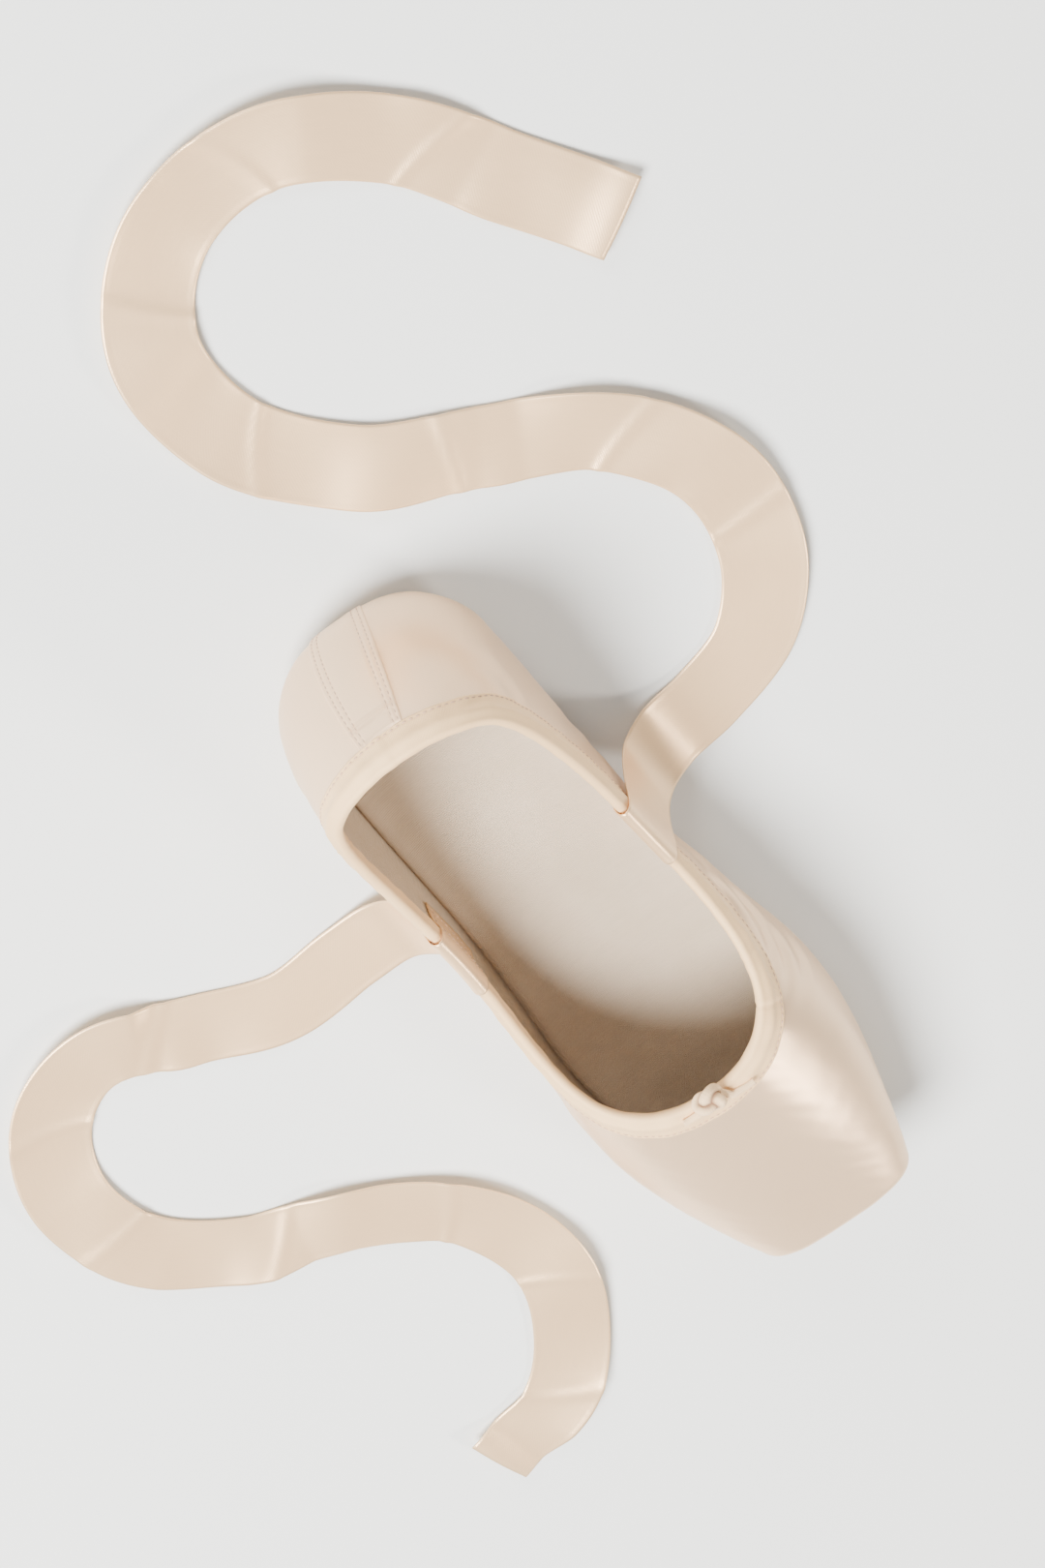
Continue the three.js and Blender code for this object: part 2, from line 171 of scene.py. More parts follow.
def bisect(low, high, isOutside, steps=36):
    for _ in range(steps):
        middle = (low + high) / 2
        out = isOutside(middle)
        high = np.where(out, middle, high)
        low = np.where(out, low, middle)
    return (low + high) / 2


def castOntoLast(origin, direction):
    def at(r):
        return origin + direction * r[..., None]
    far = np.full(np.broadcast(origin[..., 0], direction[..., 0]).shape, 2 * last["length"])
    return at(bisect(far * 0, far, lambda r: outside(at(r)) > 0))


def lastNormal(p):
    slopes = [outside(p + axis) - outside(p - axis) for axis in np.eye(3) * 0.03]
    return unit(np.stack(slopes, -1))


def wallAt(x):
    share = ease((x - last["blockStart"]) / (last["blockEnd"] - last["blockStart"]))
    return mix(last["quarterWall"], last["toeWall"], share)


def soleHalf(x, inset=0.0):
    closing = roundEnd((outsole["toe"] - inset - x) / outsole["toeRound"], 2.5)
    return (along(soleOutline, 1, x) - inset) * closing


def soleEdgeHalf(x):
    corner = roundEnd((x - outsole["heel"] + 0.05) / outsole["heelCorner"]) ** 0.7
    return np.maximum(soleHalf(x) * corner, 0.3)


def runningLengths(points):
    steps = np.linalg.norm(np.diff(points, axis=0), axis=-1)
    return np.concatenate([np.zeros((1,) + steps.shape[1:]), np.cumsum(steps, 0)], 0)


def pointsAt(wanted, lengths, points):
    # on a path with these running lengths
    return np.stack([np.interp(wanted, lengths, column) for column in points.T], -1)


def resampled(points, count):
    # the same path in even steps
    lengths = runningLengths(points)
    return pointsAt(np.linspace(0, lengths[-1], count), lengths, points)


# Meshes
def addObject(name, data):
    obj = bpy.data.objects.new(name, data)
    bpy.context.scene.collection.objects.link(obj)
    return obj


def meshObject(name, verts, faces, uv=None, material=None):
    mesh = bpy.data.meshes.new(name)
    mesh.from_pydata(np.asarray(verts).tolist(), [], [list(map(int, f)) for f in faces])
    if uv is not None:
        mesh.uv_layers.new(name="UVMap").data.foreach_set("uv", np.asarray(uv, float).reshape(-1))
    mesh.polygons.foreach_set("use_smooth", [True] * len(mesh.polygons))
    mesh.update()
    if material:
        mesh.materials.append(material)
    return addObject(name, mesh)


def gridFaces(rows, cols, wrapCols=False, wrapRows=False):
    # quads of a grid, and their corners as (row, column) that run on past a wrap
    r = np.arange(rows if wrapRows else rows - 1)
    c = np.arange(cols if wrapCols else cols - 1)
    r, c = (a.ravel() for a in np.meshgrid(r, c, indexing="ij"))
    corners = ((r, c), (r + 1, c), (r + 1, c + 1), (r, c + 1))
    faces = np.stack([(a % rows) * cols + b % cols for a, b in corners], -1)
    return faces, np.stack([np.stack([a, b], -1) for a, b in corners], 1)


def inwardFacing(verts, quads, caps=()):
    a, b, c, d = (verts[quads[:, k]] for k in range(4))
    volume = np.sum(a * np.cross(b, c)) + np.sum(a * np.cross(c, d))
    for cap in caps:
        rim = verts[cap]
        volume += np.sum(np.cross(rim[1:-1], rim[2:]) @ rim[0])
    return volume < 0


def ringObject(name, loops, material, alongSize):
    # loops: (rows, columns, 3), closed both ways; UV counts millimetres round and along
    ring = np.asarray(loops)
    rows, cols = ring.shape[:2]
    faces, corners = gridFaces(rows, cols, True, True)
    verts = place(ring).reshape(-1, 3)
    if inwardFacing(verts, faces):
        faces, corners = faces[:, ::-1], corners[:, ::-1]
    lengths = runningLengths(np.concatenate([ring, ring[:1]], 0))
    size = np.append(alongSize, 2 * alongSize[-1] - alongSize[-2])
    r, c = corners[..., 0], corners[..., 1]
    uv = np.stack([size[c], lengths[r, c % cols]], -1)
    return meshObject(name, verts, faces, uv, material)


def cappedObject(name, loops, material, uvGrid):
    # loops: (round, along, 3), closed round, with a flat cap at each end
    rows, cols = loops.shape[:2]
    quads, _ = gridFaces(rows, cols, False, True)
    first = np.arange(rows) * cols
    caps = [first[::-1], first + cols - 1]
    verts = place(loops).reshape(-1, 3)
    faces = list(quads) + caps
    if inwardFacing(verts, quads, caps):
        faces = [face[::-1] for face in faces]
    uv = np.broadcast_to(uvGrid, loops.shape[:2] + (2,)).reshape(-1, 2)[np.concatenate(faces)]
    return meshObject(name, verts, faces, uv, material)


def slabObject(name, front, back, material, uvGrid):
    # two facing grids joined all round
    rows, cols = front.shape[:2]
    faces, _ = gridFaces(rows, cols)
    count = rows * cols
    verts = place(np.concatenate([front.reshape(-1, 3), back.reshape(-1, 3)], 0))
    rim = ([(0, c) for c in range(cols)] + [(r, cols - 1) for r in range(1, rows)]
           + [(rows - 1, c) for c in range(cols - 2, -1, -1)]
           + [(r, 0) for r in range(rows - 2, 0, -1)])
    rim = np.array([r * cols + c for r, c in rim])
    ahead = np.roll(rim, -1)
    rimFaces = np.stack([rim, ahead, ahead + count, rim + count], -1)
    faces = np.concatenate([faces, (faces + count)[:, ::-1], rimFaces], 0)
    if inwardFacing(verts, faces):
        faces = faces[:, ::-1]
    return meshObject(name, verts, faces, uvGrid.reshape(-1, 2)[faces % count], material)


def setAttribute(obj, name, values):
    attribute = obj.data.attributes.new(name, "FLOAT", "POINT")
    attribute.data.foreach_set("value", values.reshape(-1))


def ride(obj, slot, *nodes):
    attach(obj, "root")
    if nodes:
        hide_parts(*nodes)
    return obj


# Materials
def newGroup(name, inputs, outputs):
    group = bpy.data.node_groups.new(name, "ShaderNodeTree")
    for socketName, kind, value in inputs:
        socket = group.interface.new_socket(socketName, in_out="INPUT", socket_type=kind)
        if value is not None:
            socket.default_value = value
    for socketName, kind in outputs:
        group.interface.new_socket(socketName, in_out="OUTPUT", socket_type=kind)
    nodes = group.nodes
    return group, nodes, group.links, nodes.new("NodeGroupInput"), nodes.new("NodeGroupOutput")


def calc(nodes, links, operation, *values):
    node = nodes.new("ShaderNodeMath")
    node.operation = operation
    for socket, value in zip(node.inputs, values):
        if isinstance(value, (int, float)):
            socket.default_value = value
        else:
            links.new(value, socket)
    return node.outputs[0]


def noiseOf(nodes, links, vector, **settings):
    node = nodes.new("ShaderNodeTexNoise")
    for socketName, value in settings.items():
        node.inputs[socketName].default_value = value
    links.new(vector, node.inputs["Vector"])
    return node.outputs[0]


def attributeOf(nodes, name):
    node = nodes.new("ShaderNodeAttribute")
    node.attribute_name = name
    return node.outputs["Fac"]


def weaveGroup():
    # threads over and under; satin has long floats one way
    group, nodes, links, start, end = newGroup(
        "wovenThreads",
        [("Vector", "NodeSocketVector", None), ("Warp Pitch", "NodeSocketFloat", 0.2),
         ("Weft Pitch", "NodeSocketFloat", 0.3), ("Float Length", "NodeSocketFloat", 4.0)],
        [("Height", "NodeSocketFloat"), ("Slub", "NodeSocketFloat")],
    )
    split = nodes.new("ShaderNodeSeparateXYZ")
    links.new(start.outputs["Vector"], split.inputs[0])
    warp = calc(nodes, links, "DIVIDE", split.outputs[0], start.outputs["Warp Pitch"])
    weft = calc(nodes, links, "DIVIDE", split.outputs[1], start.outputs["Weft Pitch"])
    floats = calc(nodes, links, "DIVIDE", weft, start.outputs["Float Length"])
    shifted = calc(nodes, links, "MULTIPLY_ADD",  # each warp thread's floats start elsewhere
                   calc(nodes, links, "FLOOR", warp), 0.382, floats)
    crown = calc(nodes, links, "SINE", calc(nodes, links, "MULTIPLY", warp, 2 * math.pi))
    dip = calc(nodes, links, "SINE", calc(nodes, links, "MULTIPLY", shifted, 2 * math.pi))
    dip = calc(nodes, links, "POWER", calc(nodes, links, "ABSOLUTE", dip), 4.0)
    links.new(calc(nodes, links, "SUBTRACT", calc(nodes, links, "MULTIPLY", crown, 0.5), dip),
              end.inputs["Height"])
    stretch = nodes.new("ShaderNodeVectorMath")
    stretch.operation = "MULTIPLY"
    stretch.inputs[1].default_value = (2.4, 0.12, 1.0)  # slubs run long and thin
    links.new(start.outputs["Vector"], stretch.inputs[0])
    links.new(noiseOf(nodes, links, stretch.outputs[0], Scale=1.0), end.inputs["Slub"])
    return group


def mottleGroup():
    group, nodes, links, start, end = newGroup(
        "softMottle",
        [("Vector", "NodeSocketVector", None), ("Scale", "NodeSocketFloat", 40.0),
         ("Low", "NodeSocketColor", (1, 1, 1, 1)), ("High", "NodeSocketColor", (1, 1, 1, 1)),
         ("Spread", "NodeSocketFloat", 0.5)],
        [("Color", "NodeSocketColor"), ("Mask", "NodeSocketFloat")],
    )
    noise = noiseOf(nodes, links, start.outputs["Vector"], Detail=4.0, Roughness=0.55)
    links.new(start.outputs["Scale"], noise.node.inputs["Scale"])
    centred = calc(nodes, links, "SUBTRACT", noise, 0.5)
    spread = calc(nodes, links, "MULTIPLY", start.outputs["Spread"], 4.0)
    mask = calc(nodes, links, "MULTIPLY_ADD", centred, spread, 0.5)
    blend = nodes.new("ShaderNodeMix")
    blend.data_type = "RGBA"
    links.new(mask, blend.inputs[0])
    links.new(start.outputs["Low"], blend.inputs[6])
    links.new(start.outputs["High"], blend.inputs[7])
    links.new(blend.outputs[2], end.inputs["Color"])
    links.new(mask, end.inputs["Mask"])
    return group


print("materials")
weave = weaveGroup()
mottle = mottleGroup()


def newMaterial(name, settings):
    material = bpy.data.materials.new(name)
    material.use_nodes = True
    nodes = material.node_tree.nodes
    principled = nodes["Principled BSDF"]
    for socketName, value in settings.items():
        principled.inputs[socketName].default_value = value
    return material, nodes, material.node_tree.links, principled


def groupNode(nodes, group, values):
    node = nodes.new("ShaderNodeGroup")
    node.node_tree = group
    for socketName, value in values.items():
        node.inputs[socketName].default_value = value
    return node


def toned(nodes, links, coords, look):
    tone = groupNode(nodes, mottle, {
        "Scale": look["mottleScale"], "Spread": look["mottleSpread"],
        "Low": (*look["low"], 1), "High": (*look["high"], 1)})
    links.new(coords.outputs["Object"], tone.inputs["Vector"])
    return tone


def blended(nodes, links, blend, amount, first, second):
    node = nodes.new("ShaderNodeMix")
    node.data_type = "RGBA"
    node.blend_type = blend
    for socket, value in ((node.inputs[0], amount), (node.inputs[6], first), (node.inputs[7], second)):
        if isinstance(value, (int, float, tuple)):
            socket.default_value = value
        else:
            links.new(value, socket)
    return node.outputs[2]


def bumped(nodes, links, principled, height, strength, distance):
    node = nodes.new("ShaderNodeBump")
    node.inputs["Strength"].default_value = strength
    node.inputs["Distance"].default_value = distance
    links.new(height, node.inputs["Height"])
    links.new(node.outputs[0], principled.inputs["Normal"])


def clothMaterial(name, look):
    # "shade": the colour of painted shade, which a per-point attribute fades to
    material, nodes, links, principled = newMaterial(name, look["shader"])
    coords = nodes.new("ShaderNodeTexCoord")
    threads = groupNode(nodes, weave, {
        "Warp Pitch": look["warp"], "Weft Pitch": look["weft"], "Float Length": look["float"]})
    links.new(coords.outputs["UV"], threads.inputs["Vector"])
    tone = toned(nodes, links, coords, look)
    colour = blended(nodes, links, "MULTIPLY", look["slub"], tone.outputs["Color"],
                     threads.outputs["Slub"])
    if "shade" in look:
        colour = blended(nodes, links, "MIX", attributeOf(nodes, "paintedShade"), colour,
                         (*look["shade"], 1))
    links.new(colour, principled.inputs["Base Color"])
    rough = calc(nodes, links, "MULTIPLY_ADD", threads.outputs["Slub"], look["roughSpread"],
                 look["rough"] - look["roughSpread"] / 2)
    links.new(rough, principled.inputs["Roughness"])
    bumped(nodes, links, principled, threads.outputs["Height"], look["bump"], look["threadDepth"])
    return material


satinLook = {
    "shader": {"Metallic": 0.42, "Specular IOR Level": 0.5, "Specular Tint": (1.0, 0.86, 0.72, 1),
               "Sheen Weight": 0.12, "Sheen Roughness": 0.35, "Sheen Tint": (1.0, 0.86, 0.73, 1)},
    "low": (0.88, 0.62, 0.39), "high": (0.92, 0.665, 0.435),
    "mottleScale": 26.0, "mottleSpread": 0.25, "slub": 0.06,
    "rough": 0.30, "roughSpread": 0.05,
    "warp": 0.22, "weft": 0.3, "float": 5.0,  # thread pitch in millimetres, threads passed over
    "bump": 0.12, "threadDepth": 0.0001,
}
satin = clothMaterial("peachSatin", satinLook)
bindingCloth = clothMaterial("foldedTape", dict(
    satinLook,
    shader={"Metallic": 0.1, "Sheen Weight": 0.25, "Sheen Roughness": 0.4, "Specular IOR Level": 0.4,
            "Sheen Tint": (1.0, 0.84, 0.68, 1)},
    low=(0.97, 0.635, 0.315), high=(0.99, 0.68, 0.36), mottleScale=70.0,
    rough=0.5, bump=0.3, warp=0.35, weft=0.35, float=1.0,
))
ribbonCloth = clothMaterial("ribbonSatin", dict(
    satinLook, low=(0.94, 0.64, 0.365), high=(0.97, 0.685, 0.41), mottleScale=18.0,
    rough=0.33, bump=0.15,
))
canvas = clothMaterial("liningCanvas", dict(
    satinLook, shader={"Sheen Weight": 0.2, "Specular IOR Level": 0.25},
    low=(0.66, 0.53, 0.385), high=(0.73, 0.60, 0.455), mottleScale=60.0, mottleSpread=0.5,
    rough=0.85, roughSpread=0.08, bump=0.9, warp=0.55, weft=0.55, float=1.0, slub=0.15,
))


def threadMaterial(name, colour, rough=0.6):
    material, nodes, links, principled = newMaterial(name, {"Roughness": rough})
    coords = nodes.new("ShaderNodeTexCoord")
    tone = toned(nodes, links, coords, {
        "mottleScale": 400.0, "mottleSpread": 0.5, "low": [c * 0.85 for c in colour], "high": colour})
    links.new(tone.outputs["Color"], principled.inputs["Base Color"])
    return material


seamThread = threadMaterial("seamThread", (0.80, 0.58, 0.42))
bindingThread = threadMaterial("bindingThread", (0.62, 0.40, 0.28))
stripThread = threadMaterial("stripThread", (0.68, 0.47, 0.33))
# near-black painted shade: small dark bodies that stand for the outsole's stitch holes
soleHoleShade = threadMaterial("soleHoleShade", (0.12, 0.065, 0.04), 0.8)


# Camera, floor and light
view = {
    "azimuth": 163.2,
    "elevation": 55.3,
    "roll": 158.7,
    "distance": 0.895,
    "aim": (70, 9, 10),    # millimetres from the heel
    "lens": 81.5444,
    "sensor": 36.0,
}
studio = {
    "floorHalf": 8.0,
    "floorColour": (0.785, 0.82, 0.83, 1),
    "roomColour": (0.99, 0.985, 0.98, 1),
    "roomStrength": 0.26,
    "litPoint": (0.06, 0, 0.03),
    "lights": {  # direction to it, metres away, metres across, watts, colour
        "topLight": ((-0.22, -0.52, 0.82), 1.6, 1.0, 104.0, (1.0, 0.965, 0.92)),
        "toeLight": ((0.80, 0.42, 0.55), 1.3, 0.3, 16.0, (1.0, 0.90, 0.79)),
        "heelLight": ((-0.85, 0.10, 0.35), 1.4, 0.5, 9.0, (1.0, 0.97, 0.94)),
    },
}


def makeCamera():
    az, el, roll = (math.radians(view[k]) for k in ("azimuth", "elevation", "roll"))
    toCamera = Vector((math.cos(el) * math.cos(az), math.cos(el) * math.sin(az), math.sin(el)))
    level = Vector((0, 0, 1)).cross(toCamera).normalized()
    upright = toCamera.cross(level)
    right = math.cos(roll) * level + math.sin(roll) * upright
    up = math.cos(roll) * upright - math.sin(roll) * level
    data = bpy.data.cameras.new("camera")
    data.sensor_width = view["sensor"]
    data.lens = view["lens"]
    data.clip_start = 0.01
    camera = addObject("camera", data)
    turn = Matrix((right, up, toCamera)).transposed().to_4x4()
    aim = Vector(place(view["aim"]))
    camera.matrix_world = Matrix.Translation(aim + toCamera * view["distance"]) @ turn
    bpy.context.scene.camera = camera


def makeStudio():
    half = studio["floorHalf"]
    corners = [(-half, -half, 0), (half, -half, 0), (half, half, 0), (-half, half, 0)]
    paleFloor = newMaterial("paleFloor", {
        "Base Color": studio["floorColour"], "Roughness": 0.9, "Specular IOR Level": 0.1})[0]
    meshObject("floor", corners, [(0, 1, 2, 3)], None, paleFloor)
    world = bpy.data.worlds.new("studio")
    bpy.context.scene.world = world
    world.use_nodes = True
    background = world.node_tree.nodes["Background"]
    background.inputs["Color"].default_value = studio["roomColour"]
    background.inputs["Strength"].default_value = studio["roomStrength"]
    for name, (direction, distance, size, power, colour) in studio["lights"].items():
        data = bpy.data.lights.new(name, "AREA")
        data.shape = "DISK"
        data.size = size
        data.energy = power
        data.color = colour
        lamp = addObject(name, data)
        offset = Vector(direction).normalized() * distance
        lamp.location = Vector(studio["litPoint"]) + offset
        lamp.rotation_euler = offset.to_track_quat("Z", "Y").to_euler()


print("camera, floor and light")
makeCamera()
makeStudio()


# Stitches, and the outsole's stitch holes as near-black bodies of painted shade: one Geometry Nodes tree
# sets small rounded bodies along paths
def stitchTree():
    tree = bpy.data.node_groups.new("stitchesAlongPath", "GeometryNodeTree")
    face = tree.interface
    face.new_socket("Geometry", in_out="INPUT", socket_type="NodeSocketGeometry")
    for name, value in (("Pitch", 0.002), ("Stitch Length", 0.0013), ("Thread", 0.0004),
                        ("Flatness", 1.0)):
        face.new_socket(name, in_out="INPUT", socket_type="NodeSocketFloat").default_value = value
    face.new_socket("Seed", in_out="INPUT", socket_type="NodeSocketInt").default_value = 3
    face.new_socket("Material", in_out="INPUT", socket_type="NodeSocketMaterial")
    face.new_socket("Geometry", in_out="OUTPUT", socket_type="NodeSocketGeometry")
    nodes, links = tree.nodes, tree.links

    def add(kind, **values):
        node = nodes.new(kind)
        for key, value in values.items():
            setattr(node, key, value)
        return node

    start, end = add("NodeGroupInput"), add("NodeGroupOutput")
    curve = add("GeometryNodeMeshToCurve")
    resample = add("GeometryNodeResampleCurve", mode="LENGTH")
    ball = add("GeometryNodeMeshIcoSphere")
    ball.inputs["Radius"].default_value = 0.5
    ball.inputs["Subdivisions"].default_value = 2
    instances = add("GeometryNodeInstanceOnPoints")
    tangent = add("GeometryNodeInputTangent")
    lengthwise = add("FunctionNodeAlignRotationToVector", axis="X")
    normal = add("GeometryNodeInputNamedAttribute", data_type="FLOAT_VECTOR")
    normal.inputs["Name"].default_value = "surfaceNormal"
    upward = add("FunctionNodeAlignRotationToVector", axis="Z", pivot_axis="X")
    jitter = add("FunctionNodeRandomValue")  # no two stitches are quite as long
    jitter.inputs[2].default_value = 0.88
    jitter.inputs[3].default_value = 1.08
    size = add("ShaderNodeCombineXYZ")
    lengthNode = add("ShaderNodeMath", operation="MULTIPLY")
    flat = add("ShaderNodeMath", operation="MULTIPLY")
    realize = add("GeometryNodeRealizeInstances")
    smooth = add("GeometryNodeSetShadeSmooth")
    paint = add("GeometryNodeSetMaterial")
    for source, target in (
        (start.outputs["Geometry"], curve.inputs[0]),
        (curve.outputs[0], resample.inputs["Curve"]),
        (start.outputs["Pitch"], resample.inputs["Length"]),
        (resample.outputs[0], instances.inputs["Points"]),
        (ball.outputs["Mesh"], instances.inputs["Instance"]),
        (tangent.outputs[0], lengthwise.inputs["Vector"]),
        (lengthwise.outputs[0], upward.inputs["Rotation"]),
        (normal.outputs["Attribute"], upward.inputs["Vector"]),
        (upward.outputs[0], instances.inputs["Rotation"]),
        (start.outputs["Seed"], jitter.inputs["Seed"]),
        (start.outputs["Stitch Length"], lengthNode.inputs[0]),
        (jitter.outputs[1], lengthNode.inputs[1]),
        (start.outputs["Thread"], flat.inputs[0]),
        (start.outputs["Flatness"], flat.inputs[1]),
        (lengthNode.outputs[0], size.inputs[0]),
        (start.outputs["Thread"], size.inputs[1]),
        (flat.outputs[0], size.inputs[2]),
        (size.outputs[0], instances.inputs["Scale"]),
        (instances.outputs[0], realize.inputs[0]),
        (realize.outputs[0], smooth.inputs["Geometry"]),
        (smooth.outputs[0], paint.inputs["Geometry"]),
        (start.outputs["Material"], paint.inputs["Material"]),
        (paint.outputs[0], end.inputs[0]),
    ):
        links.new(source, target)
    return tree


stitches = stitchTree()


def stitchRows(name, paths, slot, material, stitch):
    # paths: (points, normals) each, in millimetres
    verts, edges, normals = [], [], []
    for points, norms in paths:
        first = len(verts)
        verts.extend(place(points).tolist())
        normals.extend(np.asarray(norms).tolist())
        edges.extend((first + k, first + k + 1) for k in range(len(points) - 1))
    mesh = bpy.data.meshes.new(name + "Path")
    mesh.from_pydata(verts, edges, [])
    layer = mesh.attributes.new("surfaceNormal", "FLOAT_VECTOR", "POINT")
    layer.data.foreach_set("vector", np.array(normals, float).reshape(-1))
    pathObject = addObject(name + "Path", mesh)
    modifier = pathObject.modifiers.new("stitches", "NODES")
    modifier.node_group = stitches
    values = {"Pitch": stitch["pitch"] / 1000, "Stitch Length": stitch["length"] / 1000,
              "Thread": stitch["thread"] / 1000, "Flatness": stitch["flatness"],
              "Seed": 3, "Material": material}
    for item in stitches.interface.items_tree:
        if item.in_out == "INPUT" and item.name in values:
            modifier[item.identifier] = values[item.name]
    evaluated = pathObject.evaluated_get(bpy.context.evaluated_depsgraph_get())
    result = bpy.data.meshes.new_from_object(evaluated)
    bpy.data.objects.remove(pathObject)
    result.name = name
    result.materials.pop(index=0)  # the path's own empty slot
    return ride(addObject(name, result), slot)


# Ribbons
ribbon = {
    "width": 22.0,
    "thickness": 0.34,
    "selvedge": 0.12,      # extra thickness of the woven edge
    "metres": {"left": 0.447, "right": 0.426},
    "columns": 31,
    "step": 1.4,
    "place": 88.0,         # over the side seam
    "holdFrom": (17.0, 10.0),  # it hugs the wall above this height, fully so over this much more
    "wallEnds": 75.0,      # along it
    "laidFrom": (82.0, 45.0),  # it lies flat after this much, over this much more
    "lift": {"bank": 3.2, "wave": 1.6, "ripple": 0.35, "end": 1.8, "crease": 0.45},
    "endLength": 16.0,
    "creases": ((128, 3), (171, -4), (214, 2), (262, 5), (309, -3), (352, 4), (398, -5)),
    "patch": (1.6, 13.2),  # sewn to the wall between these, from its end
    "patchInset": 3,       # columns
    "stitch": {"pitch": 1.9, "length": 1.3, "thread": 0.34, "flatness": 0.8},
    "over": [              # its route over the binding: out from the middle, height
        (27.7, 17), (27.2, 24), (26.1, 31), (26.7, 36.4), (29.4, 38.4),
        (32.1, 36), (33.2, 29), (34.2, 20), (37, 10), (44, 3.4),
    ],
    "hang": [              # where the cloth itself lies there
        (28.45, 16.5), (28.45, 21), (28.25, 24.6), (27.6, 27), (26.85, 29.6), (26.95, 32.3),
        (27.6, 34.3), (28.9, 35.1), (30.6, 33.6), (31.5, 29.5), (32.6, 21), (36, 10.5), (44, 3.4),
    ],
    "floor": {
        "left": [
            (87, 58, 1), (80, 77, 0.7), (60, 92, 0.7), (32, 95, 0.7), (6, 80, 0.7),
            (-10, 54, 0.7), (-26, 28, 0.7), (-52, 10, 0.7), (-82, 10, 0.7), (-103, 30, 0.7),
            (-105, 60, 0.7), (-87, 84, 0.7), (-62, 99, 0.7), (-38, 114, 0.7),
        ],
        "right": [
            (89, -58, 1), (90, -79, 0.7), (79, -103, 0.7), (68, -124, 0.7), (75, -145, 0.7),
            (98, -159, 0.7), (127, -156, 0.7), (148, -136, 0.7), (160, -108, 0.7), (180, -85, 0.7),
            (210, -77, 0.7), (236, -86, 0.7), (256, -104, 0.7), (262, -130, 0.7),
        ],
    },
}


def smoothPath(points, step, perStretch=30):
    # a centripetal curve through the points, in even steps
    points = np.asarray(points, float)
    ends = np.concatenate([[2 * points[0] - points[1]], points, [2 * points[-1] - points[-2]]])
    out = []
    t = np.linspace(0, 1, perStretch, endpoint=False)[:, None]
    for k in range(1, len(ends) - 2):
        p0, p1, p2, p3 = ends[k - 1:k + 3]
        d1, d2, d3 = (max(np.linalg.norm(b - a) ** 0.5, 1e-4)
                      for a, b in ((p0, p1), (p1, p2), (p2, p3)))
        t1 = ((p1 - p0) / d1 - (p2 - p0) / (d1 + d2) + (p2 - p1) / d2) * d2
        t2 = ((p2 - p1) / d2 - (p3 - p1) / (d2 + d3) + (p3 - p2) / d3) * d2
        out.append(p1 * (2 * t ** 3 - 3 * t ** 2 + 1) + t1 * (t ** 3 - 2 * t ** 2 + t)
                   + p2 * (3 * t ** 2 - 2 * t ** 3) + t2 * (t ** 3 - t ** 2))
    fine = np.concatenate(out + [points[-1:]])
    total = runningLengths(fine)[-1]
    count = int(round(total / step)) + 1
    return resampled(fine, count), np.linspace(0, total, count)


def wallWidth(x, z):
    # half the shoe's width at a height between the sole and the collar
    x, z = np.broadcast_arrays(x, np.clip(z, 12, along(collarLine, 1, x) - 2))
    return castOntoLast(np.stack([x, 0 * x, z], -1), np.array([0.0, 1.0, 0.0]))[..., 1]


